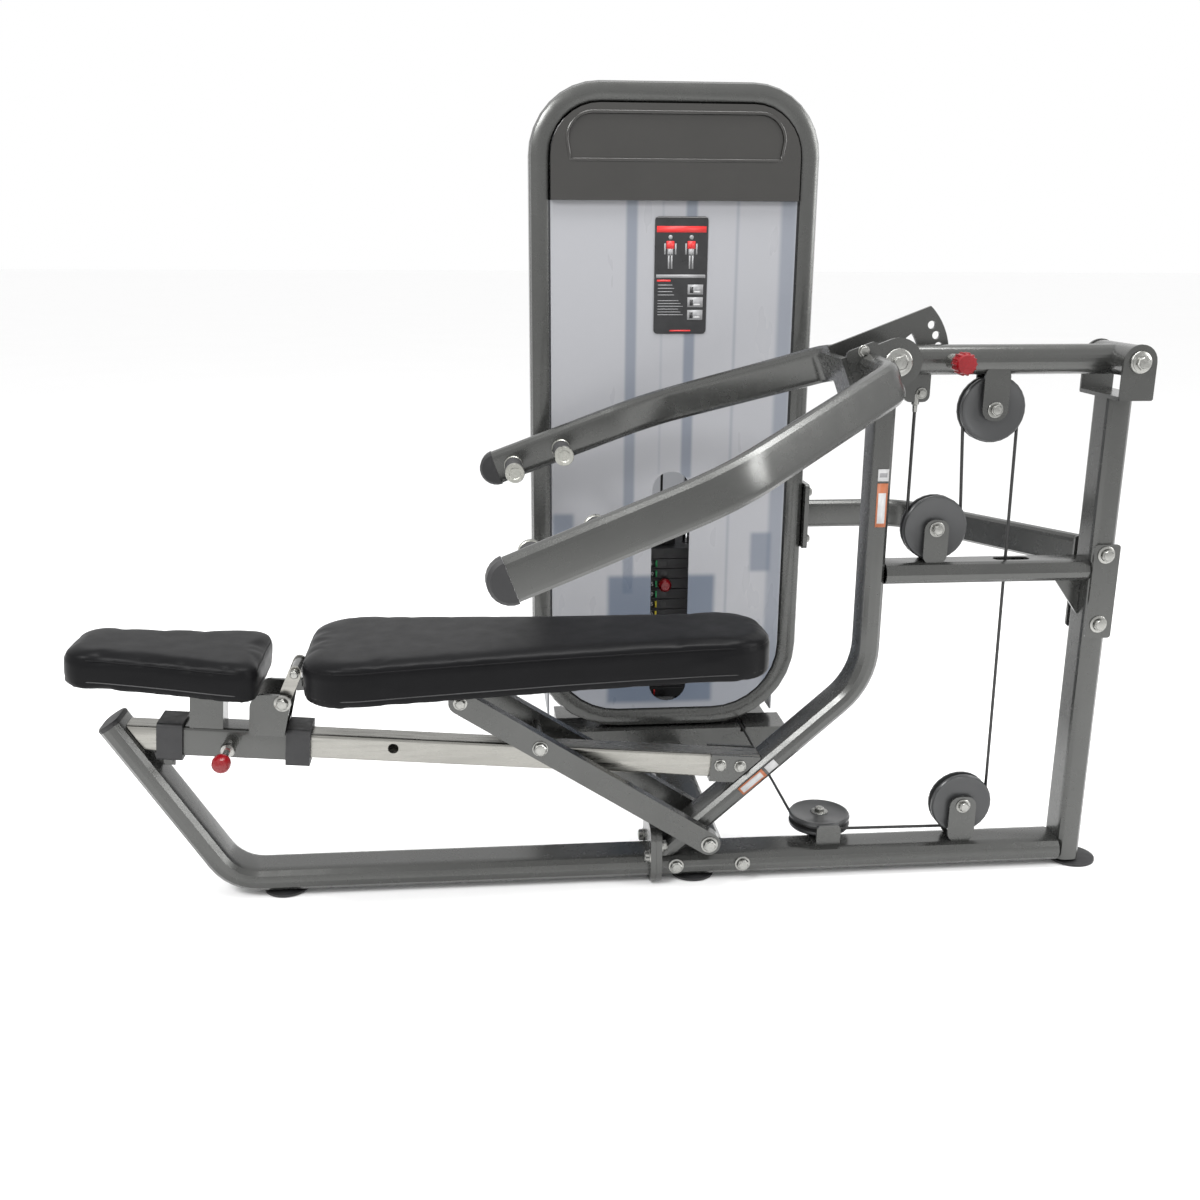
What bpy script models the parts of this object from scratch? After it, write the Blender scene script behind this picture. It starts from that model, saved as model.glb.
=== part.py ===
"""Selectorised multi press: sliding bench, lever and arms, weight tower."""
import math

import bmesh
import bpy
from mathutils import Matrix, Vector

MM = 0.001
GAP = 0.3

# Machine frame in millimetres: X 0 at the rear upright, Y 0 on the bench mid-plane, Z 0 on the floor.
SHIFT_X = 923.6
SHIFT_Y = -152.35

# Base and uprights
BASE_WIDE = 90.0
BASE_THICK = 46.0
BASE_Z = 35.0
UPRIGHT_WIDE = 80.0
UPRIGHT_THICK = 40.0
FRONT_UPRIGHT_X = -437.0
REAR_UPRIGHT_THICK = 47.0
REAR_UPRIGHT_WIDE = 75.0
MID_BEAM_Z = 612.0
WALL = 3.0

# Pivots
REAR_PIVOT = (3.0, 0.0, 1004.0)
ARM_PIVOT = (-428.0, 0.0, 1003.0)
ARM_TILT = 21.0
RAIL_ORIGIN = (-1600.0, 0.0, 311.0)
RAIL_TILT = 4.83
HINGE = (-1508.0, 0.0, 451.0)
BACK_TILT = 0.9
LINK_BASE = (-742.0, 0.0, 97.0)
LINK_TOP = (-1210.0, 0.0, 398.0)

# Pulleys
GROOVE_R = 52.0
COVER_R = 61.0
TOP_GROOVE_R = 40.0
TOP_COVER_R = 46.0
SHEAVE_HALF = 13.0
MID_SHEAVE = (-322.0, 0.0, 695.0)
LEVER_SHEAVE = (-231.0, 0.0, 915.0)
BASE_SHEAVE = (-223.0, 0.0, 133.0)
TURN_SHEAVE = (-493.0, 52.0, 84.0)
TOWER_SHEAVE = (-545.0, 694.5, 124.0)
TOP_RIGHT_SHEAVE = (-585.0, 734.5, 1400.0)
TOP_LEFT_SHEAVE = (-688.0, 734.5, 1400.0)
CABLE_R = 3.0

# Tower
TOWER_LEFT = -1047.0
TOWER_RIGHT = -421.0
TOWER_TOP = 1530.0
LOOP_WIDE = 45.0
LOOP_Y0 = 572.0
LOOP_Y1 = 647.0
LOOP_BOTTOM = 90.3
STACK_X = -728.0
STACK_Y = 734.5
STACK_HALF_X = 128.0
STACK_HALF_Y = 70.0
PLATE_PITCH = 25.0
STACK_BOTTOM = 131.8
ROD_SPACING = 64.0

FRAMES = {}


# ---------------------------------------------------------------- helpers

def empty_scene():
    for item in list(bpy.data.objects):
        bpy.data.objects.remove(item, do_unlink=True)


def add_empty(name, point, tilt, parent):
    """Empty at a machine point, turned about +Y by tilt degrees."""
    holder = bpy.data.objects.new(name, None)
    bpy.context.collection.objects.link(holder)
    place = Matrix.Translation(Vector(point)) @ Matrix.Rotation(math.radians(tilt), 4, "Y")
    base = FRAMES[parent] if parent else Matrix.Translation(Vector((-SHIFT_X, -SHIFT_Y, 0.0)))
    local = base.inverted() @ place
    holder.location = local.to_translation() * MM
    holder.rotation_euler = local.to_euler()
    holder.empty_display_size = 0.05
    if parent:
        holder.parent = bpy.data.objects[parent]
    FRAMES[name] = place


def material(name, colour, metallic, roughness):
    found = bpy.data.materials.new(name)
    found.use_nodes = True
    shader = found.node_tree.nodes["Principled BSDF"]
    shader.inputs["Base Color"].default_value = (colour[0], colour[1], colour[2], 1.0)
    shader.inputs["Metallic"].default_value = metallic
    shader.inputs["Roughness"].default_value = roughness
    return found


def paint(name):
    return material(name + "_paint", (0.12, 0.125, 0.13), 0.5, 0.38)


def steel(name):
    return material(name + "_steel", (0.62, 0.63, 0.64), 1.0, 0.28)


def chrome(name):
    return material(name + "_chrome", (0.8, 0.8, 0.81), 1.0, 0.12)


def plastic(name):
    return material(name + "_plastic", (0.015, 0.015, 0.016), 0.0, 0.45)


def red(name):
    return material(name + "_red", (0.55, 0.01, 0.015), 0.0, 0.25)


def vinyl(name):
    return material(name + "_vinyl", (0.012, 0.012, 0.013), 0.0, 0.4)


def iron(name):
    return material(name + "_iron", (0.02, 0.02, 0.022), 0.3, 0.6)


def shell(name):
    return material(name + "_shell", (0.5, 0.54, 0.6), 0.0, 0.35)


def finish(name, solid, look, parent, local=False, smooth=True):
    """Turn a bmesh in millimetres into one named object under its frame."""
    if not local:
        bmesh.ops.transform(solid, matrix=FRAMES[parent].inverted(), verts=solid.verts)
    bmesh.ops.transform(solid, matrix=Matrix.Scale(MM, 4), verts=solid.verts)
    bmesh.ops.recalc_face_normals(solid, faces=solid.faces)
    mesh = bpy.data.meshes.new(name)
    solid.to_mesh(mesh)
    solid.free()
    mesh.materials.append(look(name))
    item = bpy.data.objects.new(name, mesh)
    bpy.context.collection.objects.link(item)
    item.parent = bpy.data.objects[parent]
    if smooth:
        mesh.shade_smooth()
        mesh.set_sharp_from_angle(angle=math.radians(35))
    return item


def skin(rings, closed=False):
    """Join equal rings of points with quads; end rings become faces."""
    solid = bmesh.new()
    rows = [[solid.verts.new(Vector(p)) for p in ring] for ring in rings]
    count = len(rows[0])
    spans = len(rows) if closed else len(rows) - 1
    for i in range(spans):
        low = rows[i]
        high = rows[(i + 1) % len(rows)]
        for j in range(count):
            k = (j + 1) % count
            solid.faces.new((low[j], low[k], high[k], high[j]))
    if not closed:
        solid.faces.new(rows[0])
        solid.faces.new(list(reversed(rows[-1])))
    bmesh.ops.recalc_face_normals(solid, faces=solid.faces)
    return solid


def extrude(outline, axis, low, high):
    """Prism of a 2D outline: axis X takes (y, z), Y takes (x, z), Z takes (x, y)."""
    def point(pair, at):
        if axis == "X":
            return (at, pair[0], pair[1])
        if axis == "Y":
            return (pair[0], at, pair[1])
        return (pair[0], pair[1], at)
    return skin([[point(p, low) for p in outline], [point(p, high) for p in outline]])


def box(x0, x1, y0, y1, z0, z1):
    return extrude([(x0, y0), (x1, y0), (x1, y1), (x0, y1)], "Z", z0, z1)


def arc(cx, cz, radius, start, end, steps):
    points = []
    for i in range(steps + 1):
        angle = math.radians(start + (end - start) * i / steps)
        points.append((cx + radius * math.cos(angle), cz + radius * math.sin(angle)))
    return points


def rounded(x0, x1, z0, z1, radius, steps=4):
    points = arc(x1 - radius, z0 + radius, radius, -90, 0, steps)
    points += arc(x1 - radius, z1 - radius, radius, 0, 90, steps)
    points += arc(x0 + radius, z1 - radius, radius, 90, 180, steps)
    points += arc(x0 + radius, z0 + radius, radius, 180, 270, steps)
    return points


def capsule(x0, z0, x1, z1, radius, steps=8):
    turn = math.degrees(math.atan2(z1 - z0, x1 - x0))
    points = arc(x1, z1, radius, turn - 90, turn + 90, steps)
    points += arc(x0, z0, radius, turn + 90, turn + 270, steps)
    return points


def spun(start, direction, steps, sides=18):
    """Solid of revolution: steps are (distance along, radius) pairs."""
    along = Vector(direction).normalized()
    across = along.orthogonal().normalized()
    third = along.cross(across)
    rings = []
    for distance, radius in steps:
        ring = []
        for i in range(sides):
            angle = 2 * math.pi * i / sides
            offset = (across * math.cos(angle) + third * math.sin(angle)) * radius
            ring.append(Vector(start) + along * distance + offset)
        rings.append(ring)
    return skin(rings)


def rod(x, z, radius, y0, y1, sides=18):
    return spun((x, y0, z), (0, 1, 0), [(0, radius), (y1 - y0, radius)], sides)


def bend(points, radii, steps=6):
    """Round the inner corners of a planar path of 3D points."""
    path = [Vector(points[0])]
    for i in range(1, len(points) - 1):
        here = Vector(points[i])
        back = (Vector(points[i - 1]) - here).normalized()
        ahead = (Vector(points[i + 1]) - here).normalized()
        half = back.angle(ahead) / 2
        radius = radii[i - 1]
        reach = radius / math.tan(half)
        start = here + back * reach
        centre = here + (back + ahead).normalized() * (radius / math.sin(half))
        first = start - centre
        last = here + ahead * reach - centre
        sweep = first.angle(last)
        axis = first.cross(last).normalized()
        for k in range(steps + 1):
            path.append(centre + Matrix.Rotation(sweep * k / steps, 3, axis) @ first)
    path.append(Vector(points[-1]))
    return path


def sections(path, side, wide, thick, radius, steps=3):
    """Rounded rectangles square to the path; wide runs along side."""
    side = Vector(side).normalized()
    outline = rounded(-wide / 2, wide / 2, -thick / 2, thick / 2, radius, steps)
    rings = []
    for i, here in enumerate(path):
        before = (here - path[i - 1]).normalized() if i > 0 else None
        after = (path[i + 1] - here).normalized() if i < len(path) - 1 else None
        along = (before or after) + (after or before)
        along.normalize()
        stretch = 1.0
        if before and after:
            stretch = 1.0 / math.cos(before.angle(after) / 2)
        up = along.cross(side).normalized() * stretch
        rings.append([here + side * p + up * q for p, q in outline])
    return rings


def bar(path, side, wide, thick, radius, steps=3):
    return skin(sections(path, side, wide, thick, radius, steps))


def tube(path, side, wide, thick, radius, steps=3):
    """Open-ended hollow section along a path."""
    outer = sections(path, side, wide, thick, radius, steps)
    inner_radius = max(radius - WALL, 1.0)
    inner = sections(path, side, wide - 2 * WALL, thick - 2 * WALL, inner_radius, steps)
    rings = outer + list(reversed(inner))
    return skin(rings, closed=True)


def solid_object(solid):
    mesh = bpy.data.meshes.new("tool")
    solid.to_mesh(mesh)
    item = bpy.data.objects.new("tool", mesh)
    bpy.context.collection.objects.link(item)
    return item


def combine(base, tools, operation):
    """Exact boolean of a base solid with a list of tool solids."""
    target = solid_object(base)
    helpers = [solid_object(tool) for tool in tools]
    for helper in helpers:
        step = target.modifiers.new("step", "BOOLEAN")
        step.operation = operation
        step.solver = "EXACT"
        step.object = helper
    graph = bpy.context.evaluated_depsgraph_get()
    mesh = bpy.data.meshes.new_from_object(target.evaluated_get(graph))
    result = bmesh.new()
    result.from_mesh(mesh)
    bmesh.ops.remove_doubles(result, verts=result.verts, dist=0.002)
    bmesh.ops.dissolve_degenerate(result, edges=result.edges, dist=0.002)
    for item in helpers + [target]:
        bpy.data.objects.remove(item, do_unlink=True)
    return result


def fuse(base, *tools):
    return combine(base, tools, "UNION")


def cut(base, *tools):
    return combine(base, tools, "DIFFERENCE")


# ---------------------------------------------------------------- base frame

def base_front_tube():
    path = bend([(-845, 0, BASE_Z), (-1647, 0, BASE_Z), (-1846, 0, 352)], [90])
    main = tube(path, (0, 1, 0), BASE_WIDE, BASE_THICK, 22)
    flange = extrude(rounded(-60, 60, 5, 120, 28), "X", -852, -841 - GAP)
    bolts = []
    for y in (-48, 48):
        bolts.append(spun((-851, y, 62), (-1, 0, 0), [(0, 11), (11, 11)], 6))
    finish("base_front_tube", fuse(main, flange, *bolts), paint, "machine")


def base_front_end_cap():
    along = Vector((-199, 0, 317)).normalized()
    tip = Vector((-1846, 0, 352))
    path = [tip + along * GAP, tip + along * 5, tip + along * 8]
    rings = sections(path, (0, 1, 0), BASE_WIDE, BASE_THICK, 22)
    middle = path[2]
    rings[2] = [middle + (p - middle) * 0.9 for p in rings[2]]
    finish("base_front_end_cap", skin(rings), plastic, "machine")


def base_main_beam():
    path = [Vector((-836, 0, BASE_Z)), Vector((-23.8, 0, BASE_Z))]
    main = tube(path, (0, 1, 0), BASE_WIDE, BASE_THICK, 22)
    flange = extrude(rounded(-60, 60, 5, 120, 28), "X", -841, -830)
    parts = [flange]
    for y in (-22, 17):
        parts.append(extrude(rounded(-250, -196, 55, 152, 20), "Y", y, y + 5))
    parts.append(rod(BASE_SHEAVE[0], BASE_SHEAVE[2], 10, -28, -20, 6))
    parts.append(rod(BASE_SHEAVE[0], BASE_SHEAVE[2], 10, 20, 28, 6))
    parts.append(extrude(rounded(-521, -465, -20, 116, 8), "Z", 56, 62))
    parts.append(extrude(rounded(-516, -468, 57, 97, 6), "Y", -20, -14))
    parts.append(spun((TURN_SHEAVE[0], TURN_SHEAVE[1], 58), (0, 0, 1), [(0, 12), (12, 12)], 16))
    for x in (-800, -669):
        parts.append(spun((x, -43, BASE_Z + 3), (0, -1, 0), [(0, 12), (5, 12), (5.01, 8), (9, 7)], 16))
    finish("base_main_beam", fuse(main, *parts), paint, "machine")


def front_upright():
    corner = (FRONT_UPRIGHT_X, 0, 403)
    path = bend([(FRONT_UPRIGHT_X, 0, 950), corner, (-845, 0, 38)], [150], 8)
    main = tube(path, (0, 1, 0), UPRIGHT_WIDE, UPRIGHT_THICK, 19)
    trimmed = cut(main, box(-1000, -700, -90, 90, -50, 58 + GAP), box(-1000, -830 + GAP, -90, 90, 0, 300))
    bosses = []
    for y0, y1 in ((-51.5, -38), (38, 51.5)):
        bosses.append(rod(LINK_BASE[0], LINK_BASE[2], 19, y0, y1))
    finish("front_upright", fuse(trimmed, *bosses), paint, "machine")


def rear_upright():
    path = [Vector((0, 0, 14)), Vector((0, 0, 938))]
    main = tube(path, (0, 1, 0), REAR_UPRIGHT_WIDE, REAR_UPRIGHT_THICK, 16)
    bottom = extrude(rounded(-29, 34, -79, 79, 4, 2), "Z", 936, 943)
    parts = [bottom]
    for y in (-79, 73.5):
        outline = arc(3, 1004, 31, 0, 180, 12) + [(-28, 938), (34, 938)]
        parts.append(extrude(outline, "Y", y, y + 5.5))
    for y, way in ((-78, -1), (78, 1)):
        steps = [(0, 19), (5, 19), (5.01, 11), (12, 10), (13, 8)]
        parts.append(spun((3, y, 1004), (0, way, 0), steps, 24))
    finish("rear_upright", fuse(main, *parts), paint, "machine")


def mid_beam():
    path = [Vector((-416.7, 0, MID_BEAM_Z)), Vector((-23.8, 0, MID_BEAM_Z))]
    main = tube(path, (0, 1, 0), UPRIGHT_WIDE, UPRIGHT_THICK, 19)
    parts = []
    for y in (-22, 17):
        parts.append(extrude(rounded(-345, -299, 628, 713, 18), "Y", y, y + 5))
    parts.append(rod(MID_SHEAVE[0], MID_SHEAVE[2], 10, -28, -20, 6))
    parts.append(rod(MID_SHEAVE[0], MID_SHEAVE[2], 10, 20, 28, 6))
    gusset = extrude([(-24 - GAP, 596), (-80, 596), (-24 - GAP, 520)], "Y", -3, 3)
    joined = fuse(main, gusset, *parts)
    slot = extrude(rounded(-200, -130, -12, 12, 11.5), "Z", 560, 660)
    finish("mid_beam", cut(joined, slot), paint, "machine")


def feet():
    for name, x, radius, top in (("foot_front", -1554, 44, 11.7), ("foot_mid", -761, 44, 11.7), ("foot_rear", 22, 48, 13.7)):
        steps = [(0, radius), (top - 4, radius), (top, radius - 5)]
        finish(name, spun((x, 0, 0), (0, 0, 1), steps, 32), plastic, "machine")


def brace():
    path = bend([(-414, 600, 600), (-190, 600, 600), (0, 60, 630)], [90])
    main = bar(path, (0, 0, 1), 64, 30, 14)
    flange = extrude(rounded(560, 640, 524, 674, 8), "X", -421 + GAP, -411)
    plate = extrude(rounded(-23, 27, 483, 665, 6), "Y", 37.5 + GAP, 44)
    tail = bar([Vector((0, 60, 630)), Vector((0, 40, 630))], (0, 0, 1), 64, 30, 14)
    finish("brace_tube", fuse(main, flange, tail, plate), paint, "machine")
    clamp = extrude(rounded(-23, 27, 483, 665, 6), "Y", -44, -37.5 - GAP)
    bolts = []
    for z in (656 - 10, 511):
        bolts.append(spun((0, -43, z), (0, -1, 0), [(0, 12), (4, 12), (4.01, 8), (10, 7)], 16))
    finish("brace_clamp_plate", fuse(clamp, *bolts), paint, "machine")


def lever_stop():
    outline = rounded(-455, -419, -24, 24, 8)
    finish("lever_stop", extrude(outline, "Z", 950 + GAP, 972.4), plastic, "machine")


# ---------------------------------------------------------------- rail and carriage

RAIL_END = [(1001.2, 60), (1200, 60), (1200, -90), (859.0, -90)]


def seat_rail():
    path = [Vector((-225.8, 0, 0)), Vector((963.4, 0, 0))]
    main = tube(path, (0, 1, 0), 50, 48, 6, 2)
    holes = [rod(x, 4, 10, -40, 40, 16) for x in (-32, 263, 558)]
    holes.append(extrude([(-400, 60), (-248.9, 60), (-159.1, -60), (-400, -60)], "Y", -60, 60))
    holes.append(extrude(RAIL_END, "Y", -60, 60))
    finish("seat_rail", cut(main, *holes), chrome, "rail_frame", local=True)


def rail_brackets():
    gusset = [(-180, -24.5), (-166.5, -24.5), (-166.5, -37.5), (-138, -37.5), (-138, -58), (-160, -58)]
    front = extrude(gusset, "Y", -4, 4)
    stub = rod(-150, -47.6, 8, -12, 12, 12)
    finish("rail_front_bracket", fuse(front, stub), paint, "rail_frame", local=True)
    lower = extrude([(868, -24.5), (963, -24.5), (963, -30), (868, -30)], "Y", -31, 31)
    plates = []
    for y0, y1 in ((-31, -25 - GAP), (25 + GAP, 31)):
        plates.append(extrude([(868, 24), (868, -30), (963, -30), (963, 24)], "Y", y0, y1))
    for x in (886, 925):
        plates.append(spun((x, -30.5, 4), (0, -1, 0), [(0, 9), (3, 9), (3.01, 7), (8, 6)], 16))
    joined = fuse(lower, *plates)
    finish("rail_rear_bracket", cut(joined, extrude(RAIL_END, "Y", -60, 60)), paint, "rail_frame", local=True)


def carriage_sleeve():
    path = [Vector((-118.7, 0, 0)), Vector((66.7, 0, 0))]
    outer = bar(path, (0, 1, 0), 62, 58, 7, 2)
    parts = [box(-108, -48, -28, 28, 25, 107)]
    parts.append(extrude(rounded(-150, 5, -70, 70, 8), "Z", 105.5, 111.5))
    parts.append(box(2, 66, -50, 50, 27, 36))
    for y0, y1 in ((-50, -42), (42, 50)):
        outline = [(2, 30), (66, 30)] + arc(61, 92, 14, 0, 90, 4) + arc(27, 81, 25, 90, 180, 6)
        parts.append(extrude(outline, "Y", y0, y1))
    for y, way in ((-48, -1), (48, 1)):
        parts.append(spun((61, y, 92), (0, way, 0), [(0, 11), (6, 11), (6.01, 7), (12, 6)], 16))
    parts.append(spun((-32, -30, 4), (0, -1, 0), [(0, 11), (45, 11)], 20))
    joined = fuse(outer, *parts)
    bore = bar([Vector((-130, 0, 0)), Vector((80, 0, 0))], (0, 1, 0), 50.8, 48.8, 6, 2)
    pin_way = rod(-32, 4, 6.6, -90, 0, 16)
    finish("carriage_sleeve", cut(joined, bore, pin_way), paint, "rail_frame_carriage", local=True)


def carriage_bushings():
    for name, x0, x1 in (("bushing_front", -165, -119), ("bushing_rear", 67, 111)):
        block = extrude(rounded(-39, 39, -36, 36, 8), "X", x0, x1)
        bore = bar([Vector((x0 - 9, 0, 0)), Vector((x1 + 9, 0, 0))], (0, 1, 0), 50.8, 48.8, 6, 2)
        finish(name, cut(block, bore), plastic, "rail_frame_carriage", local=True)


def hinge_ears():
    ears = [extrude(capsule(61, 92, 80, 147, 12), "Y", 30, 37)]
    bolt = rod(61, 92, 9, -41.6, 41.6)
    near = extrude(capsule(61, 92, 80, 147, 12), "Y", -37, -30)
    heads = [rod(80, 147, 8, -43, -36, 16), rod(80, 147, 8, 36, 43, 16)]
    finish("hinge_ears", fuse(near, bolt, *ears, *heads), chrome, "rail_frame_carriage", local=True)


def pull_pin():
    steps = [(0, 5), (1.5, 6), (53.5, 6), (54.5, 4.5), (90.5, 4.5), (94.5, 12), (100.5, 16)]
    steps += [(107.5, 17), (115.5, 16), (121.5, 12), (124.5, 5)]
    knob = spun((0, 9.5, 0), (0, -1, 0), steps, 16)
    finish("pull_pin", knob, red, "pull_pin_frame", local=True)


def pad(name, outline, levels, parent):
    """Cushion from an outline around its centre with inset levels (z, inset)."""
    centre = Vector((sum(p[0] for p in outline) / len(outline), 0.0))
    rings = []
    for z, inset in levels:
        ring = []
        for x, y in outline:
            offset = Vector((x, y)) - centre
            shrink = max(0.0, 1.0 - inset / offset.length)
            ring.append((centre.x + offset.x * shrink, offset.y * shrink, z))
        rings.append(ring)
    finish(name, skin(rings), vinyl, parent, local=True)


def mirrored(upper):
    """Close a half outline (x, +y) by its mirror image."""
    return upper + [(x, -y) for x, y in reversed(upper)]


def seat_pad():
    upper = [(29, 30), (28, 92)] + arc(-7, 92, 35, 12, 78, 4) + [(-40, 123), (-147, 106), (-250, 93)]
    upper += arc(-278, 42, 50, 100, 170, 5) + [(-328, 15)]
    levels = [(112.0, 3), (116, 0), (163, 0), (169, 2), (173, 7), (175, 14)]
    pad("seat_pad", mirrored(upper), levels, "rail_frame_carriage")


def back_pad():
    upper = [(15, 40), (16, 90)] + arc(100, 88, 84, 170, 100, 5) + [(120, 172), (308, 150), (478, 131)]
    upper += [(638, 119), (770, 111)] + arc(800, 28, 83, 80, 12, 5) + [(884, 12)]
    levels = [(-30.0, 4), (-25, 0), (32, 0), (38, 2), (42, 8), (45, 16)]
    pad("back_pad", mirrored(upper), levels, "back_frame_axis")


def back_frame():
    barrel = rod(0, 0, 9.5, -29.6, 29.6)
    strap = extrude([(-9, 0), (-9, -28), (0, -38), (50, -38), (50, -30 - GAP), (9.2, -30 - GAP), (9.2, 0)], "Y", -26, 26)
    board = extrude(rounded(30, 420, -47, 47, 12), "Z", -38, -30 - GAP)
    lugs = []
    for y0, y1 in ((-46, -38), (38, 46)):
        outline = [(255, -36), (265, -60)] + arc(297.1, -57.7, 20, 190, 350, 8) + [(330, -60), (340, -36)]
        lugs.append(extrude(outline, "Y", y0, y1))
    joined = fuse(barrel, strap, board, *lugs)
    bore = rod(297.1, -57.7, 9.6, -60, 60)
    finish("back_frame", cut(joined, bore), paint, "back_frame_axis", local=True)


def links():
    for name, y0, y1, way in (("link_near", -77, -52, -1), ("link_far", 52, 77, 1)):
        main = extrude(capsule(LINK_BASE[0], LINK_BASE[2], LINK_TOP[0], LINK_TOP[2], 22), "Y", y0, y1)
        face = y0 + 1 if way < 0 else y1 - 1
        heads = []
        for x, z in ((LINK_BASE[0], LINK_BASE[2]), (-1065, 304.7)):
            heads.append(spun((x, face, z), (0, way, 0), [(0, 13), (4, 13), (4.01, 9), (10, 8)], 16))
        if way < 0:
            heads.append(rod(LINK_TOP[0], LINK_TOP[2], 9, -53, 52 - GAP))
            heads.append(rod(-1065, 304.7, 9, -53, 52 - GAP))
        finish(name, fuse(main, *heads), paint, "link_axis")


# ---------------------------------------------------------------- lever and arms

def lever_beam():
    main = spun((-428, 0, 1003), (431, 0, 1), [(0, 27), (431, 27)], 28)
    parts = [rod(3, 1004, 29, -73 + GAP, 73 - GAP, 28), rod(-428, 1003, 30, -45.6, 45.6, 28)]
    parts.append(extrude(rounded(-398, -350, 928, 990, 12), "Y", -6, 6))
    for y in (-22, 17):
        parts.append(extrude(rounded(-255, -207, 895, 995, 20), "Y", y, y + 5))
    parts.append(rod(LEVER_SHEAVE[0], LEVER_SHEAVE[2], 10, -28, -20, 6))
    parts.append(rod(LEVER_SHEAVE[0], LEVER_SHEAVE[2], 10, 20, 28, 6))
    parts.append(rod(-320, 1003, 13, -60, -20))
    joined = fuse(main, *parts)
    finish("lever_beam", cut(joined, rod(-320, 1003, 7.6, -90, 60, 16)), paint, "lever_axis")


def adjust_pin():
    steps = [(0, 5.5), (2, 7), (106.5, 7), (107.5, 6), (112.5, 6), (113.5, 17), (116.5, 18.5)]
    steps += [(139.5, 18.5), (144.5, 16)]
    pin = spun((0, 45.5, 0), (0, -1, 0), steps, 20)
    finish("adjust_pin", pin, red, "adjust_pin_frame", local=True)


def arm_bracket():
    near = extrude([(-86, -43), (0, -43)] + arc(0, 0, 43, -80, 80, 14) + [(0, 43), (-86, 43)], "Y", -54, -46)
    sector = arc(0, 0, 127, -31, 25.7, 14)
    far = extrude([(-86, -43), (0, -43)] + sector + [(-86, 55)], "Y", 46, 54)
    front = box(-94, -86 + 1, -54, 54, -43, 43)
    parts = [far, front]
    for y, way in ((-53, -1), (53, 1)):
        steps = [(0, 24), (4, 24), (4.01, 13), (10, 12), (13, 9)]
        parts.append(spun((0, y, 0), (0, way, 0), steps, 20))
    joined = fuse(near, *parts)
    tools = []
    for turn in (0.0, 11.0, 22.0, 33.0):
        angle = math.radians(turn - ARM_TILT)
        x = 108 * math.cos(angle)
        z = 108 * math.sin(angle)
        tools.append(rod(x, z, 7.4, 40, 60, 16))
    window = arc(0, 0, 70, -8, 18, 6) + arc(0, 0, 56, 18, -8, 6)
    tools.append(extrude(window, "Y", 40, 60))
    finish("arm_bracket", cut(joined, *tools), paint, "arm_axis", local=True)


def arm(name, way):
    path = bend([(-50, 58 * way, 0), (-58, 199 * way, 0), (-399, 463 * way, 0), (-748, 489 * way, 0)], [60, 260], 7)
    main = tube(path, (0, 0, 1), 72, 38, 17)
    flange = extrude(rounded(-86, -26, -52, 52, 10), "Y", min(54.3 * way, 60 * way), max(54.3 * way, 60 * way))
    parts = [flange]
    for z in (-43, 43):
        parts.append(spun((-54, 59 * way, z), (0, way, 0), [(0, 8), (7, 8)], 6))
    finish(name, fuse(main, *parts), paint, "arm_axis", local=True)


def arm_cap(name, way):
    along = Vector((-349, 26 * way, 0)).normalized()
    across = Vector((along.y, -along.x, 0))
    tip = Vector((-748, 489 * way, 0)) + along * GAP
    outline = arc(0, 0, 36, -90, 90, 12)
    rings = []
    for offset in (-19, -13, 13, 19):
        scale = 0.86 if abs(offset) > 15 else 1.0
        rings.append([tip + along * (p * scale) + across * offset + Vector((0, 0, q * scale)) for p, q in outline])
    finish(name, skin(rings), plastic, "arm_axis", local=True)


def handle(name, u, w, way):
    inner = 463 + (-399 - u) / 349 * 26 - 19
    start = (u, (inner - 2.2) * way, w)
    steps = [(0, 20), (12, 20), (12.5, 17.5), (16, 19), (98, 19), (99, 20.5), (112, 20.5), (114, 18)]
    finish(name, spun(start, (0, -way, 0), steps, 18), plastic, "arm_axis", local=True)


# ---------------------------------------------------------------- sheaves and cable

def sheave(name, parent, axis, groove, cover):
    """Grooved wheel with flat cheeks, centred on its own frame."""
    start = Vector(axis) * -SHEAVE_HALF
    bed = groove - CABLE_R - 1.5
    steps = [(0, cover - 3), (3, cover), (7.5, cover), (9.4, bed), (16.6, bed), (18.5, cover)]
    steps += [(23, cover), (26, cover - 3)]
    finish(name, spun(start, axis, steps, 28), plastic, parent, local=True)


def around(centre, radius, start, end, steps, plane):
    """Arc points in a plane: XZ, XY or YZ, angles in degrees."""
    points = []
    for i in range(steps + 1):
        angle = math.radians(start + (end - start) * i / steps)
        a = radius * math.cos(angle)
        b = radius * math.sin(angle)
        if plane == "XZ":
            points.append(Vector(centre) + Vector((a, 0, b)))
        elif plane == "XY":
            points.append(Vector(centre) + Vector((a, b, 0)))
        else:
            points.append(Vector(centre) + Vector((0, a, b)))
    return points


def cable_route():
    points = [Vector((-374, 0, 927))]
    points += around(MID_SHEAVE, GROOVE_R, 180, 363.4, 14, "XZ")
    points += around(LEVER_SHEAVE, GROOVE_R, 183.4, -0.6, 14, "XZ")
    points += around(BASE_SHEAVE, GROOVE_R, -0.6, -90.6, 8, "XZ")
    points += around(TURN_SHEAVE, GROOVE_R, 270, 180, 8, "XY")
    points += around(TOWER_SHEAVE, TOP_GROOVE_R, -90, 0, 8, "YZ")
    points += around(TOP_RIGHT_SHEAVE, TOP_GROOVE_R, 0, 90, 7, "XZ")
    points += around(TOP_LEFT_SHEAVE, TOP_GROOVE_R, 90, 180, 7, "XZ")
    points.append(Vector((STACK_X, STACK_Y, 554.2)))
    return points


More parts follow.
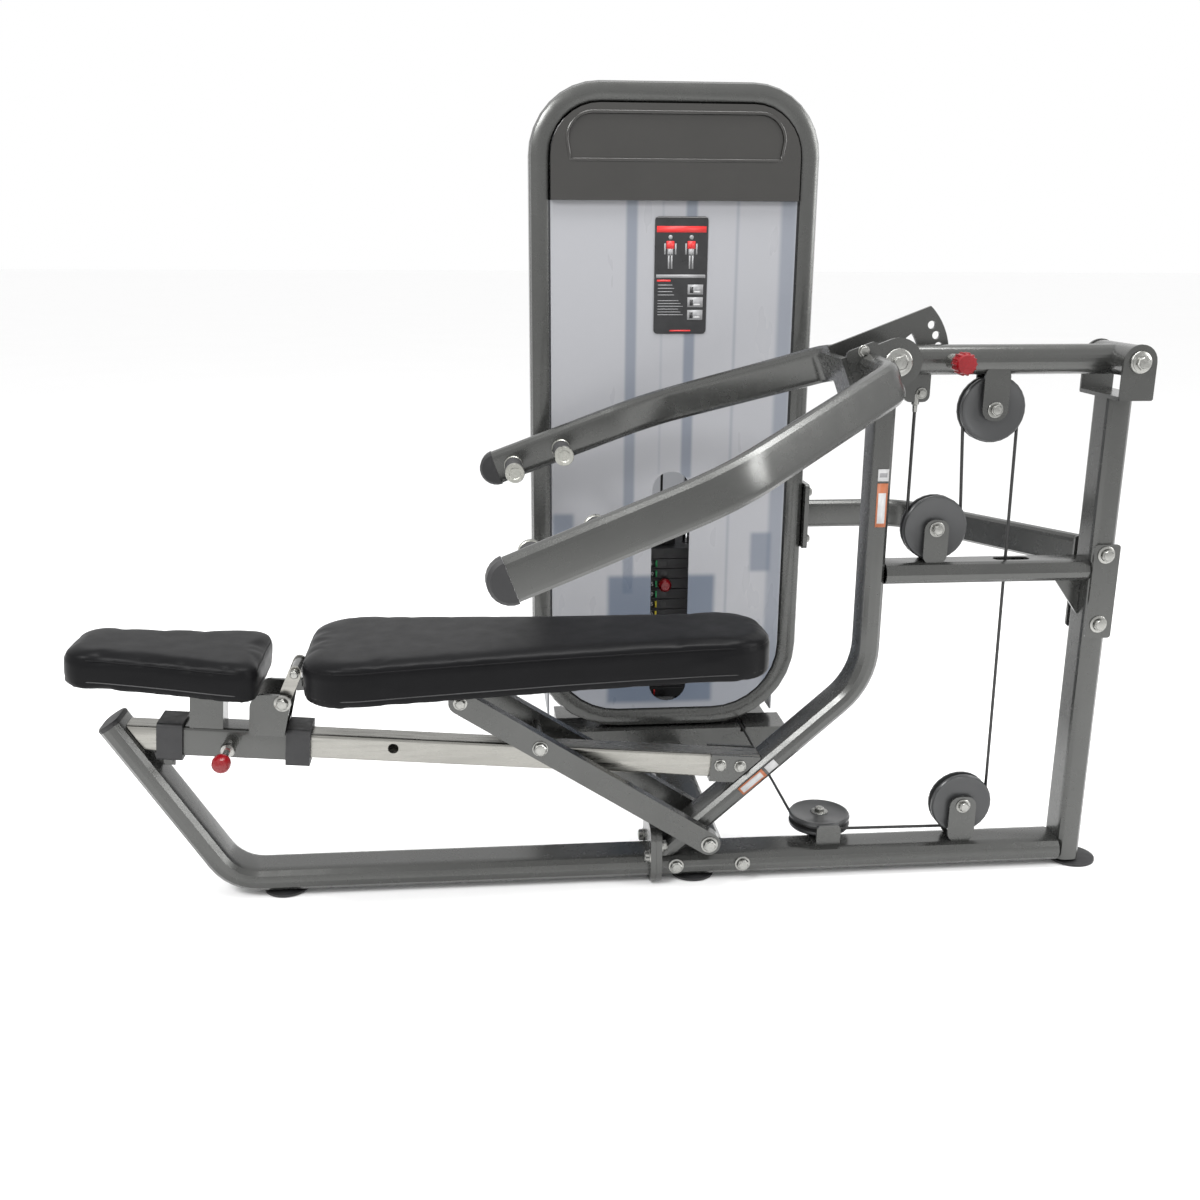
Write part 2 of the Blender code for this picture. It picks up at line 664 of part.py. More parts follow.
def cable():
    curve = bpy.data.curves.new("cable", "CURVE")
    curve.dimensions = "3D"
    curve.bevel_depth = CABLE_R * MM
    curve.bevel_resolution = 2
    curve.use_fill_caps = True
    curve.render_resolution_u = 0
    route = cable_route()
    line = curve.splines.new("POLY")
    line.points.add(len(route) - 1)
    for slot, place in zip(line.points, route):
        slot.co = (place.x * MM, place.y * MM, place.z * MM, 1.0)
    curve.materials.append(plastic("cable"))
    item = bpy.data.objects.new("cable", curve)
    bpy.context.collection.objects.link(item)
    item.parent = bpy.data.objects["machine"]


# ---------------------------------------------------------------- tower

def tower_frame():
    half = LOOP_WIDE / 2
    left = TOWER_LEFT + half
    right = TOWER_RIGHT - half
    low = LOOP_BOTTOM + half
    high = TOWER_TOP - half
    path = arc(right - 127, high - 127, 127, 0, 90, 8) + arc(left + 127, high - 127, 127, 90, 180, 8)
    path += arc(left + 178, low + 178, 178, 180, 270, 8) + arc(right - 178, low + 178, 178, 270, 360, 8)
    middle = (LOOP_Y0 + LOOP_Y1) / 2
    profile = rounded(-half, half, LOOP_Y0 - middle, LOOP_Y1 - middle, 16, 2)
    rings = []
    for i, (x, z) in enumerate(path):
        before = Vector((x - path[i - 1][0], z - path[i - 1][1])).normalized()
        ahead = path[(i + 1) % len(path)]
        after = Vector((ahead[0] - x, ahead[1] - z)).normalized()
        along = (before + after).normalized()
        rings.append([(x + along.y * p, middle + q, z - along.x * p) for p, q in profile])
    finish("tower_frame", skin(rings, closed=True), paint, "machine")


def tower_base():
    main = box(-1000, -440, 558, 655, 14, 87)
    parts = []
    for x0, x1 in ((-985, -925), (-515, -455)):
        parts.append(box(x0, x1, 560, 815, 0, 60))
    parts.append(box(-880, -580, 650, 806, 80, 95))
    parts.append(box(-860, -600, 650, 700, 14, 85))
    parts.append(box(-572, -500, 665, 725, 50, 64))
    for x0, x1 in ((-567, -562), (-528, -523)):
        parts.append(extrude(rounded(670, 719, 55, 142, 12), "X", x0, x1))
    for x in (STACK_X - ROD_SPACING, STACK_X + ROD_SPACING):
        parts.append(spun((x, STACK_Y, 90), (0, 0, 1), [(0, 24), (41.5, 24)], 24))
    joined = fuse(main, *parts)
    way = box(-551, -539, 540, 700, 76, 100)
    rods = [spun((STACK_X + s, STACK_Y, 70), (0, 0, 1), [(0, 11.3), (90, 11.3)]) for s in (-ROD_SPACING, ROD_SPACING)]
    finish("tower_base", cut(joined, way, *rods), paint, "machine")


def tower_link_beam():
    path = [Vector((-737, 45 + GAP, BASE_Z)), Vector((-737, 557.7, BASE_Z))]
    main = tube(path, (1, 0, 0), 93, BASE_THICK, 22)
    finish("tower_link_beam", main, paint, "machine")


def head_cover():
    inner = 105 - GAP
    x0 = TOWER_LEFT + LOOP_WIDE + GAP
    x1 = TOWER_RIGHT - LOOP_WIDE - GAP
    top = TOWER_TOP - LOOP_WIDE - GAP
    outline = [(x0, 1291), (x1, 1291)] + arc(x1 - inner, top - inner, inner, 0, 90, 8)
    outline += arc(x0 + inner, top - inner, inner, 90, 180, 8)
    slab = extrude(outline, "Y", 566, 596)
    recess = [(-960, 1372), (-508, 1372)] + arc(-556, 1412, 55, 0, 90, 5) + arc(-912, 1412, 55, 90, 180, 5)
    finish("head_cover", cut(slab, extrude(recess, "Y", 550, 571)), paint, "machine")


def front_shroud():
    inner = 155 - GAP
    x0 = TOWER_LEFT + LOOP_WIDE + GAP
    x1 = TOWER_RIGHT - LOOP_WIDE - GAP
    bottom = LOOP_BOTTOM + LOOP_WIDE + GAP
    outline = [(x1, 1291 - GAP), (x0, 1291 - GAP)] + arc(x0 + inner, bottom + inner, inner, 180, 270, 8)
    outline += arc(x1 - inner, bottom + inner, inner, 270, 360, 8)
    panel = extrude(outline, "Y", 580, 584)
    slot = extrude(rounded(-772, -684, 152, 705, 43, 6), "Y", 570, 590)
    finish("front_shroud", cut(panel, slot), shell, "machine")


def rear_shroud():
    outer = [(-1010, 648), (-1010, 790), (-985, 815), (-483, 815), (-458, 790), (-458, 648)]
    inner = [(-462, 648), (-462, 788), (-485, 811), (-983, 811), (-1006, 788), (-1006, 648)]
    finish("rear_shroud", extrude(outer + inner, "Z", 100, 1440), shell, "machine")


def instruction_placard():
    panel = extrude(rounded(-776, -660, 1012, 1259, 8), "Y", 578, 580 - GAP)
    finish("instruction_placard", panel, plastic, "machine")


def stack_block(name, low, count, parent):
    """Stack of plates as one grooved body with its three bores."""
    rings = []
    for i in range(count):
        z = low + i * PLATE_PITCH
        for offset, inset in ((0.0, 2.0), (1.5, 0.0), (PLATE_PITCH - 1.5, 0.0), (PLATE_PITCH, 2.0)):
            if i > 0 and offset == 0.0:
                continue
            x = STACK_HALF_X - inset
            y = STACK_HALF_Y - inset
            outline = rounded(STACK_X - x, STACK_X + x, STACK_Y - y, STACK_Y + y, 6, 1)
            rings.append([(a, b, z + offset) for a, b in outline])
    block = skin(rings)
    bores = []
    for shift, radius in ((-ROD_SPACING, 12.5), (0.0, 10.6), (ROD_SPACING, 12.5)):
        steps = [(0, radius), (count * PLATE_PITCH + 40, radius)]
        bores.append(spun((STACK_X + shift, STACK_Y, low - 20), (0, 0, 1), steps, 20))
    if parent == "stack_axis":
        bores.append(rod(STACK_X, low + PLATE_PITCH / 2, 5, STACK_Y - 80, STACK_Y - 16, 16))
    finish(name, cut(block, *bores), iron, parent)


def head_plate():
    low = STACK_BOTTOM + 14 * PLATE_PITCH + 2 * GAP
    outline = rounded(STACK_X - 128, STACK_X + 128, STACK_Y - 70, STACK_Y + 70, 8, 2)
    block = extrude(outline, "Z", low, low + 24)
    top = box(STACK_X - 32, STACK_X + 32, STACK_Y - 22, STACK_Y + 22, low + 20, low + 46)
    collar = spun((STACK_X, STACK_Y, low + 45), (0, 0, 1), [(0, 12), (16, 12), (20, 7), (26, 6)], 20)
    joined = fuse(block, top, collar)
    bores = []
    for shift in (-ROD_SPACING, ROD_SPACING):
        bores.append(spun((STACK_X + shift, STACK_Y, low - 20), (0, 0, 1), [(0, 12.5), (90, 12.5)], 20))
    bores.append(spun((STACK_X, STACK_Y, low - 20), (0, 0, 1), [(0, 10.6), (28, 10.6)], 20))
    finish("head_plate", cut(joined, *bores), iron, "stack_axis")


def stack_rods():
    for name, shift in (("guide_rod_left", -ROD_SPACING), ("guide_rod_right", ROD_SPACING)):
        rod_body = spun((STACK_X + shift, STACK_Y, 96), (0, 0, 1), [(0, 11), (1234, 11)], 20)
        finish(name, rod_body, chrome, "machine")
    selector = spun((STACK_X, STACK_Y, 140), (0, 0, 1), [(0, 8), (3, 10), (349, 10)], 20)
    finish("selector_rod", selector, steel, "stack_axis")
    steps = [(0, 3), (2, 4.5), (52.5, 4.5), (53, 6), (57, 13), (63, 16), (71, 15), (77.5, 10)]
    pin = spun((0, 0, 0), (0, -1, 0), steps, 20)
    finish("weight_pin", pin, red, "weight_pin_frame", local=True)


def top_pulley_bracket():
    roof = box(-745, -530, LOOP_Y1 + GAP, STACK_Y + 22, 1462, 1470)
    parts = []
    for y0, y1 in ((STACK_Y - 23, STACK_Y - 17), (STACK_Y + 17, STACK_Y + 23)):
        parts.append(extrude([(-745, 1466), (-700, 1385), (-573, 1385), (-530, 1466)], "Y", y0, y1))
    for x in (TOP_RIGHT_SHEAVE[0], TOP_LEFT_SHEAVE[0]):
        parts.append(rod(x, 1400, 9, STACK_Y - 30, STACK_Y - 21, 6))
    bridge = box(-880, -576, STACK_Y - 20, STACK_Y + 20, 1330 + GAP, 1342)
    parts.append(cut(bridge, box(-745, -711, STACK_Y - 12, STACK_Y + 12, 1320, 1350)))
    parts.append(box(-880, -868, STACK_Y - 16, STACK_Y + 16, 1335, 1468))
    parts.append(box(-880, -740, STACK_Y - 16, STACK_Y + 16, 1462, 1470))
    finish("top_pulley_bracket", fuse(roof, *parts), paint, "machine")


def build_frames():
    root = bpy.data.objects.new("machine", None)
    bpy.context.collection.objects.link(root)
    root.location = (SHIFT_X * MM, SHIFT_Y * MM, 0.0)
    FRAMES["machine"] = Matrix.Identity(4)
    add_empty("rail_frame", RAIL_ORIGIN, RAIL_TILT, "machine")
    add_empty("rail_frame_carriage", RAIL_ORIGIN, RAIL_TILT, "machine")
    turn = Matrix.Rotation(math.radians(RAIL_TILT), 4, "Y")
    pin = Vector(RAIL_ORIGIN) + turn @ Vector((-32, -35, 4))
    add_empty("pull_pin_frame", pin, RAIL_TILT, "rail_frame_carriage")
    add_empty("back_frame_axis", HINGE, -BACK_TILT, "rail_frame_carriage")
    add_empty("link_axis", LINK_TOP, 0, "back_frame_axis")
    add_empty("lever_axis", REAR_PIVOT, 0, "machine")
    add_empty("adjust_pin_frame", (-320, 0, 1003), 0, "lever_axis")
    add_empty("arm_axis", ARM_PIVOT, -ARM_TILT, "lever_axis")
    add_empty("lever_sheave_axis", LEVER_SHEAVE, 0, "lever_axis")
    add_empty("stack_axis", (STACK_X, STACK_Y, STACK_BOTTOM), 0, "machine")
    pin_z = STACK_BOTTOM + 11 * PLATE_PITCH + GAP + PLATE_PITCH / 2
    add_empty("weight_pin_frame", (STACK_X, STACK_Y - 18, pin_z), 0, "stack_axis")
    for name, centre in (("mid_sheave_axis", MID_SHEAVE), ("base_sheave_axis", BASE_SHEAVE),
                         ("turn_sheave_axis", TURN_SHEAVE), ("tower_sheave_axis", TOWER_SHEAVE),
                         ("top_right_axis", TOP_RIGHT_SHEAVE), ("top_left_axis", TOP_LEFT_SHEAVE)):
        add_empty(name, centre, 0, "machine")


def build():
    empty_scene()
    build_frames()
    base_front_tube()
    base_front_end_cap()
    base_main_beam()
    front_upright()
    rear_upright()
    mid_beam()
    feet()
    brace()
    lever_stop()
    seat_rail()
    rail_brackets()
    carriage_sleeve()
    carriage_bushings()
    hinge_ears()
    pull_pin()
    seat_pad()
    back_pad()
    back_frame()
    links()
    lever_beam()
    adjust_pin()
    arm_bracket()
    for side, way in (("near", -1), ("far", 1)):
        arm("arm_" + side, way)
        arm_cap("arm_cap_" + side, way)
        handle("handle_" + side + "_outer", -712, -4, way)
        handle("handle_" + side + "_inner", -604, -7, way)
    sheave("lever_sheave", "lever_sheave_axis", (0, 1, 0), GROOVE_R, COVER_R)
    sheave("mid_sheave", "mid_sheave_axis", (0, 1, 0), GROOVE_R, COVER_R)
    sheave("base_sheave", "base_sheave_axis", (0, 1, 0), GROOVE_R, COVER_R)
    sheave("turn_sheave", "turn_sheave_axis", (0, 0, 1), GROOVE_R, COVER_R)
    sheave("tower_sheave", "tower_sheave_axis", (1, 0, 0), TOP_GROOVE_R, TOP_COVER_R)
    sheave("top_right_sheave", "top_right_axis", (0, 1, 0), TOP_GROOVE_R, TOP_COVER_R)
    sheave("top_left_sheave", "top_left_axis", (0, 1, 0), TOP_GROOVE_R, TOP_COVER_R)
    cable()
    tower_frame()
    tower_base()
    tower_link_beam()
    head_cover()
    front_shroud()
    rear_shroud()
    instruction_placard()
    stack_block("weight_stack_lower", STACK_BOTTOM, 11, "machine")
    stack_block("weight_stack_lifted", STACK_BOTTOM + 11 * PLATE_PITCH + GAP, 3, "stack_axis")
    head_plate()
    stack_rods()
    top_pulley_bracket()


build()
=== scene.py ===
import bpy
import bmesh
import math
from mathutils import Matrix, Vector
from mathutils.bvhtree import BVHTree


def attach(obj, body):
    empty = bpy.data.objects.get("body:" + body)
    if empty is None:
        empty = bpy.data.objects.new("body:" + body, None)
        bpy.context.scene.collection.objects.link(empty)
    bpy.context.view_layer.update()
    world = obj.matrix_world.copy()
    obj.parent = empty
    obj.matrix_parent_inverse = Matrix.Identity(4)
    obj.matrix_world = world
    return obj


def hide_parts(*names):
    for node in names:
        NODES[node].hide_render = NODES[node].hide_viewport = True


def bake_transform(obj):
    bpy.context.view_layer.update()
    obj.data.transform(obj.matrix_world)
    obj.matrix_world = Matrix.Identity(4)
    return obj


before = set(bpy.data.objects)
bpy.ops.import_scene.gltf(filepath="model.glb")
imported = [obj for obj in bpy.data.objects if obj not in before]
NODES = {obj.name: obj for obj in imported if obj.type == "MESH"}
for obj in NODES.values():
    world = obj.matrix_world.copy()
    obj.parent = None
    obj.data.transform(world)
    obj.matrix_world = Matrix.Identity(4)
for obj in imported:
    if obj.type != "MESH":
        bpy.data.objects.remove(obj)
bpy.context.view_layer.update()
SHIFT = Vector((0.9236, -0.15235, 0.0))
PLATE_FRONT_Y = 664.5
PLATE_PITCH = 25.0
PLATE_COUNT = 14
LIFTED_FROM = 11
PINNED_PLATE = 3
CABLE_RADIUS = 0.003
PAD_VOXEL = 0.0065
PAD_SWELL = 0.006


# ------------------------------------------------------------ frames, in millimetres

def machine(x, y, z):
    return Vector((x, y, z)) * 0.001 + SHIFT


def framed(origin, tilt):
    """Matrix of a tilted machine frame, in metres."""
    turn = Matrix.Rotation(math.radians(tilt), 4, "Y")
    return Matrix.Translation(machine(*origin)) @ turn


MACHINE = Matrix.Translation(SHIFT)
RAIL = framed((-1600, 0, 311), 4.83)
ARMS = framed((-428, 0, 1003), -21.0)
BACK = framed((-1508, 0, 451), -0.9)


def put(place, x, y, z):
    return place @ Vector((x * 0.001, y * 0.001, z * 0.001))


# ------------------------------------------------------------ materials

class Look:
    """A Principled material with a few procedural helpers."""

    def __init__(self, name, colour, metallic=0.0, roughness=0.5):
        self.material = bpy.data.materials.new(name)
        self.material.use_nodes = True
        self.nodes = self.material.node_tree.nodes
        self.links = self.material.node_tree.links
        self.shader = self.nodes["Principled BSDF"]
        self.colour = (colour[0], colour[1], colour[2], 1.0)
        self.shader.inputs["Base Color"].default_value = self.colour
        self.shader.inputs["Metallic"].default_value = metallic
        self.shader.inputs["Roughness"].default_value = roughness
        self.coords = self.nodes.new("ShaderNodeTexCoord").outputs["Object"]
        self.height = None

    def set(self, socket, value):
        self.shader.inputs[socket].default_value = value
        return self

    def noise(self, scale, detail=4.0, rough=0.55, stretch=None):
        texture = self.nodes.new("ShaderNodeTexNoise")
        texture.inputs["Scale"].default_value = scale
        texture.inputs["Detail"].default_value = detail
        texture.inputs["Roughness"].default_value = rough
        source = self.coords
        if stretch:
            mapping = self.nodes.new("ShaderNodeMapping")
            mapping.inputs["Scale"].default_value = stretch
            self.links.new(self.coords, mapping.inputs["Vector"])
            source = mapping.outputs["Vector"]
        self.links.new(source, texture.inputs["Vector"])
        return texture.outputs["Fac"]

    def cells(self, scale):
        texture = self.nodes.new("ShaderNodeTexVoronoi")
        texture.inputs["Scale"].default_value = scale
        self.links.new(self.coords, texture.inputs["Vector"])
        return texture.outputs["Distance"]

    def spread(self, value, low, high, socket):
        """Send a 0..1 value to a shader socket between two numbers."""
        scale = self.nodes.new("ShaderNodeMapRange")
        scale.inputs["From Min"].default_value = 0.3
        scale.inputs["From Max"].default_value = 0.7
        scale.inputs["To Min"].default_value = low
        scale.inputs["To Max"].default_value = high
        self.links.new(value, scale.inputs["Value"])
        self.links.new(scale.outputs["Result"], self.shader.inputs[socket])
        return self

    def tint(self, value, amount):
        """Vary the base colour darker and lighter."""
        ramp = self.nodes.new("ShaderNodeValToRGB")
        dark = [c * (1 - amount) for c in self.colour[:3]] + [1.0]
        light = [min(1.0, c * (1 + amount)) for c in self.colour[:3]] + [1.0]
        ramp.color_ramp.elements[0].position = 0.3
        ramp.color_ramp.elements[0].color = dark
        ramp.color_ramp.elements[1].position = 0.7
        ramp.color_ramp.elements[1].color = light
        self.links.new(value, ramp.inputs["Fac"])
        self.links.new(ramp.outputs["Color"], self.shader.inputs["Base Color"])
        return self

    def bump(self, value, strength, distance=0.001):
        node = self.nodes.new("ShaderNodeBump")
        node.inputs["Strength"].default_value = strength
        node.inputs["Distance"].default_value = distance
        self.links.new(value, node.inputs["Height"])
        if self.height:
            self.links.new(self.height, node.inputs["Normal"])
        self.height = node.outputs["Normal"]
        self.links.new(self.height, self.shader.inputs["Normal"])
        return self


def painted(name, colour, rough=0.26, metallic=0.7):
    look = Look(name, colour, metallic, rough)
    look.tint(look.noise(9.0, 3.0), 0.05)
    look.spread(look.noise(40.0, 5.0), rough - 0.02, rough + 0.03, "Roughness")
    look.bump(look.noise(900.0, 2.0), 0.008, 0.0003)
    look.set("Coat Weight", 0.30).set("Coat Roughness", 0.18)
    return look.material


def moulded(name, colour, rough=0.5):
    look = Look(name, colour, 0.0, rough)
    look.tint(look.noise(30.0), 0.15)
    look.spread(look.noise(60.0), rough - 0.08, rough + 0.1, "Roughness")
    look.bump(look.noise(1400.0, 3.0), 0.25, 0.0003)
    return look.material


def plated(name, colour, rough, stretch):
    look = Look(name, colour, 1.0, rough)
    look.spread(look.noise(160.0, 4.0, 0.6, stretch), rough * 0.6, rough * 1.7, "Roughness")
    look.tint(look.noise(14.0), 0.05)
    look.bump(look.noise(500.0, 3.0, 0.6, stretch), 0.05, 0.0002)
    return look.material


def upholstery():
    look = Look("black_vinyl_grain", (0.0045, 0.0045, 0.005), 0.0, 0.38)
    look.tint(look.noise(18.0, 5.0), 0.10)
    look.spread(look.noise(26.0, 4.0), 0.35, 0.42, "Roughness")
    look.bump(look.cells(620.0), 0.22, 0.0004)
    look.bump(look.noise(70.0, 4.0), 0.04, 0.0015)
    look.set("Specular IOR Level", 0.09)
    return look.material


def soft_step(look, value, at, width):
    """0 below a coordinate in metres and 1 above it, over a soft width in millimetres."""
    step = look.nodes.new("ShaderNodeMapRange")
    step.interpolation_type = "SMOOTHSTEP"
    step.inputs["From Min"].default_value = at - width * 0.0005
    step.inputs["From Max"].default_value = at + width * 0.0005
    look.links.new(value, step.inputs["Value"])
    return step.outputs["Result"]


def times(look, a, b):
    product = look.nodes.new("ShaderNodeMath")
    product.operation = "MULTIPLY"
    look.links.new(a, product.inputs[0])
    look.links.new(b, product.inputs[1])
    return product.outputs["Value"]


def painted_light_mask(look, x, z, x0, x1, z0, z1, blur):
    """Soft rectangle mask for painted light: the painted shade of what stands behind a frosted sheet, and the
    painted glow inside the rear cover.
    """
    sides = []
    spans = ((x, put(MACHINE, x0, 0, 0).x, put(MACHINE, x1, 0, 0).x), (z, z0 * 0.001, z1 * 0.001))
    for value, low, high in spans:
        rise = soft_step(look, value, low, blur)
        fall = look.nodes.new("ShaderNodeMath")
        fall.operation = "SUBTRACT"
        fall.inputs[0].default_value = 1.0
        look.links.new(soft_step(look, value, high, blur), fall.inputs[1])
        sides += [rise, fall.outputs["Value"]]
    return times(look, times(look, sides[0], sides[1]), times(look, sides[2], sides[3]))


def shroud_sheet():
    look = Look("shroud_sheet", (0.265, 0.268, 0.282), 0.0, 0.34)
    split = look.nodes.new("ShaderNodeSeparateXYZ")
    look.links.new(look.coords, split.inputs["Vector"])
    x = split.outputs["X"]
    z = split.outputs["Z"]
    colour = None
    # Painted shade: each row (x0, x1, z0, z1, blur, weight) is a soft rectangle where the sheet's colour is darkened
    # towards dark blue, standing in for the parts behind the frosted sheet showing through it.
    shade_patches = [(-1010, -458, 90, 310, 160, 0.30), (-838, -814, 420, 1310, 9, 0.55), (-708, -684, 690, 1310, 9, 0.60),
              (-598, -592, 300, 1310, 7, 0.30), (-760, -756, 700, 1310, 7, 0.22), (-872, -622, 150, 462, 16, 0.80),
              (-1000, -952, 468, 610, 14, 0.62), (-540, -492, 468, 560, 14, 0.60), (-500, -466, 90, 1310, 14, 0.45)]
    for x0, x1, z0, z1, blur, weight in shade_patches:
        shade_mask = painted_light_mask(look, x, z, x0, x1, z0, z1, blur)
        mix = look.nodes.new("ShaderNodeMix")
        mix.data_type = "RGBA"
        strength = look.nodes.new("ShaderNodeMath")
        strength.operation = "MULTIPLY"
        strength.inputs[1].default_value = weight
        look.links.new(shade_mask, strength.inputs[0])
        look.links.new(strength.outputs["Value"], mix.inputs["Factor"])
        mix.inputs["A"].default_value = look.colour
        # the dark blue of the painted shade
        mix.inputs["B"].default_value = (0.060, 0.082, 0.120, 1.0)
        if colour:
            look.links.new(colour, mix.inputs["A"])
        colour = mix.outputs["Result"]
    look.links.new(colour, look.shader.inputs["Base Color"])
    look.spread(look.noise(14.0, 3.0, 0.5, (1.0, 1.0, 0.3)), 0.26, 0.33, "Roughness")
    look.set("Coat Weight", 0.15).set("Coat Roughness", 0.2)
    look.set("Specular IOR Level", 0.3)
    return look.material


def cover_sheet():
    """Pale rear cover; only its inner wall glows, for the light that the frosted front lets in."""
    look = Look("rear_sheet", (0.22, 0.225, 0.24), 0.0, 0.45)
    look.tint(look.noise(6.0, 3.0), 0.03)
    split = look.nodes.new("ShaderNodeSeparateXYZ")
    look.links.new(look.coords, split.inputs["Vector"])
    wall = painted_light_mask(look, split.outputs["X"], split.outputs["Z"], -900, -560, 110, 1430, 8)
    inside = look.nodes.new("ShaderNodeMath")
    inside.operation = "SUBTRACT"
    inside.inputs[0].default_value = 1.0
    look.links.new(soft_step(look, split.outputs["Y"], put(MACHINE, 0, 813, 0).y, 1), inside.inputs[1])
    glow = look.nodes.new("ShaderNodeMath")
    glow.operation = "MULTIPLY"
    glow.inputs[1].default_value = 0.30
    look.links.new(times(look, wall, inside.outputs["Value"]), glow.inputs[0])
    look.set("Emission Color", (0.80, 0.82, 0.86, 1.0))
    look.links.new(glow.outputs["Value"], look.shader.inputs["Emission Strength"])
    return look.material


GREY = painted("graphite_paint", (0.072, 0.073, 0.070))
COVER = painted("head_cover_paint", (0.034, 0.033, 0.031), 0.20, 0.4)
DISC = painted("pulley_cover_paint", (0.040, 0.041, 0.042), 0.40, 0.4)
RUBBER = moulded("black_rubber", (0.014, 0.014, 0.015), 0.55)
GRIP = moulded("grip_rubber", (0.018, 0.018, 0.019), 0.62)
CHROME = plated("rail_chrome", (0.27, 0.265, 0.245), 0.24, (0.06, 1.0, 1.0))
ROD = plated("rod_chrome", (0.70, 0.71, 0.72), 0.12, (1.0, 1.0, 0.05))
ZINC = plated("zinc_fasteners", (0.30, 0.30, 0.285), 0.26, (1.0, 1.0, 1.0))
ALUMINIUM = plated("turned_aluminium", (0.36, 0.36, 0.33), 0.30, (1.0, 0.1, 1.0))
IRON = moulded("stack_iron", (0.016, 0.016, 0.017), 0.5)
VINYL = upholstery()
THREAD = moulded("seam_thread", (0.022, 0.022, 0.023), 0.45)
SHEET = shroud_sheet()
REAR_SHEET = cover_sheet()
JACKET = moulded("cable_jacket", (0.010, 0.010, 0.010), 0.38)
RED = moulded("red_knob", (0.17, 0.002, 0.005), 0.26)
RED_BAND = moulded("red_print", (0.55, 0.02, 0.02), 0.4)
# Black for print, and also the painted shade in the plate holes.
BLACK_PRINT_AND_HOLE_SHADE = moulded("black_print_and_hole_shade", (0.012, 0.012, 0.013), 0.35)
GREY_PRINT = moulded("grey_print", (0.22, 0.22, 0.225), 0.4)
WHITE_PRINT = moulded("white_print", (0.42, 0.42, 0.42), 0.4)
ORANGE_PRINT = moulded("orange_print", (0.32, 0.10, 0.04), 0.4)
GREEN_PRINT = moulded("green_print", (0.05, 0.38, 0.14), 0.4)
YELLOW_PRINT = moulded("yellow_print", (0.75, 0.62, 0.05), 0.4)


def coat(names, material):
    for name in names.split():
        data = NODES[name].data
        data.materials.clear()
        data.materials.append(material)


def soften(names, angle=28.0):
    """Shade the rounded surfaces of CAD nodes smoothly and keep their real edges."""
    for name in names:
        item = NODES[name]
        if "custom_normal" in item.data.attributes:
            item.data.attributes.remove(item.data.attributes["custom_normal"])
        item.data.shade_smooth()
        weld = item.modifiers.new("weld", "WELD")
        weld.merge_threshold = 0.00001
        edges = item.modifiers.new("edges", "EDGE_SPLIT")
        edges.split_angle = math.radians(angle)
        edges.use_edge_sharp = False
        flats = item.modifiers.new("flats", "WEIGHTED_NORMAL")
        flats.weight = 100
        flats.keep_sharp = True


# ------------------------------------------------------------ mesh helpers

def made(name, solid, material, body, smooth=35.0):
    """Object from a bmesh in metres, riding on a body."""
    bmesh.ops.recalc_face_normals(solid, faces=solid.faces)
    mesh = bpy.data.meshes.new(name)
    solid.to_mesh(mesh)
    solid.free()
    mesh.materials.append(material)
    item = bpy.data.objects.new(name, mesh)
    bpy.context.scene.collection.objects.link(item)
    mesh.shade_smooth()
    if smooth:
        mesh.set_sharp_from_angle(angle=math.radians(smooth))
    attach(item, body)
    return item


def turned(solid, start, along, steps, sides=28):
    """Add a closed solid of revolution; steps are (distance, radius) in metres."""
    along = along.normalized()
    across = along.orthogonal().normalized()
    third = along.cross(across)
    rings = []
    for distance, radius in steps:
        ring = []
        for i in range(sides):
            angle = 2 * math.pi * (i + 0.5) / sides
            spoke = across * math.cos(angle) + third * math.sin(angle)
            ring.append(solid.verts.new(start + along * distance + spoke * radius))
        rings.append(ring)
    for low, high in zip(rings, rings[1:]):
        for j in range(sides):
            k = (j + 1) % sides
            solid.faces.new((low[j], low[k], high[k], high[j]))
    solid.faces.new(rings[0])
    solid.faces.new(list(reversed(rings[-1])))


def slab(solid, place, x0, x1, y0, y1, z0, z1):
    """Add a box in a frame, millimetres."""
    corners = [(x, y, z) for x in (x0, x1) for y in (y0, y1) for z in (z0, z1)]
    verts = [solid.verts.new(put(place, *c)) for c in corners]
    for face in ((0, 1, 3, 2), (4, 6, 7, 5), (0, 4, 5, 1), (2, 3, 7, 6), (0, 2, 6, 4), (1, 5, 7, 3)):
        solid.faces.new([verts[i] for i in face])


def hex_bolt(name, place, point, way, size, body, washer=1.7):
    """Washer, chamfered hex head and a domed crown; size is the head radius in mm."""
    solid = bmesh.new()
    start = put(place, *point)
    along = (place.to_3x3() @ Vector(way)).normalized()
    s = size * 0.001
    w = s * washer
    steps = [(0, w * 0.97), (0.0004, w), (0.0024, w), (0.0029, w * 0.95)]
    turned(solid, start - along * 0.0005, along, steps, 30)
    head = start + along * 0.0022
    turned(solid, head, along, [(0, s), (s * 0.55, s), (s * 0.66, s * 0.86)], 6)
    turned(solid, head + along * (s * 0.6), along, [(0, s * 0.8), (s * 0.14, s * 0.72), (s * 0.2, s * 0.3)], 18)
    return made(name, solid, ZINC, body)


def button(name, place, point, way, radius, height, material, body):
    """Low round cap with a rolled edge, millimetres."""
    solid = bmesh.new()
    along = (place.to_3x3() @ Vector(way)).normalized()
    r = radius * 0.001
    h = height * 0.001
    steps = [(0, r), (h * 0.6, r), (h * 0.85, r * 0.96), (h, r * 0.88)]
    turned(solid, put(place, *point), along, steps, 36)
    return made(name, solid, material, body)


# ------------------------------------------------------------ pads

def heavy_copy(name, source, voxel):
    mesh = NODES[source].data.copy()
    item = bpy.data.objects.new(name, mesh)
    bpy.context.scene.collection.objects.link(item)
    step = item.modifiers.new("remesh", "REMESH")
    step.mode = "VOXEL"
    step.voxel_size = voxel
    step.use_smooth_shade = True
    bake(item)
    return item


def bake(item):
    graph = bpy.context.evaluated_depsgraph_get()
    graph.update()
    mesh = bpy.data.meshes.new_from_object(item.evaluated_get(graph))
    item.modifiers.clear()
    item.data = mesh


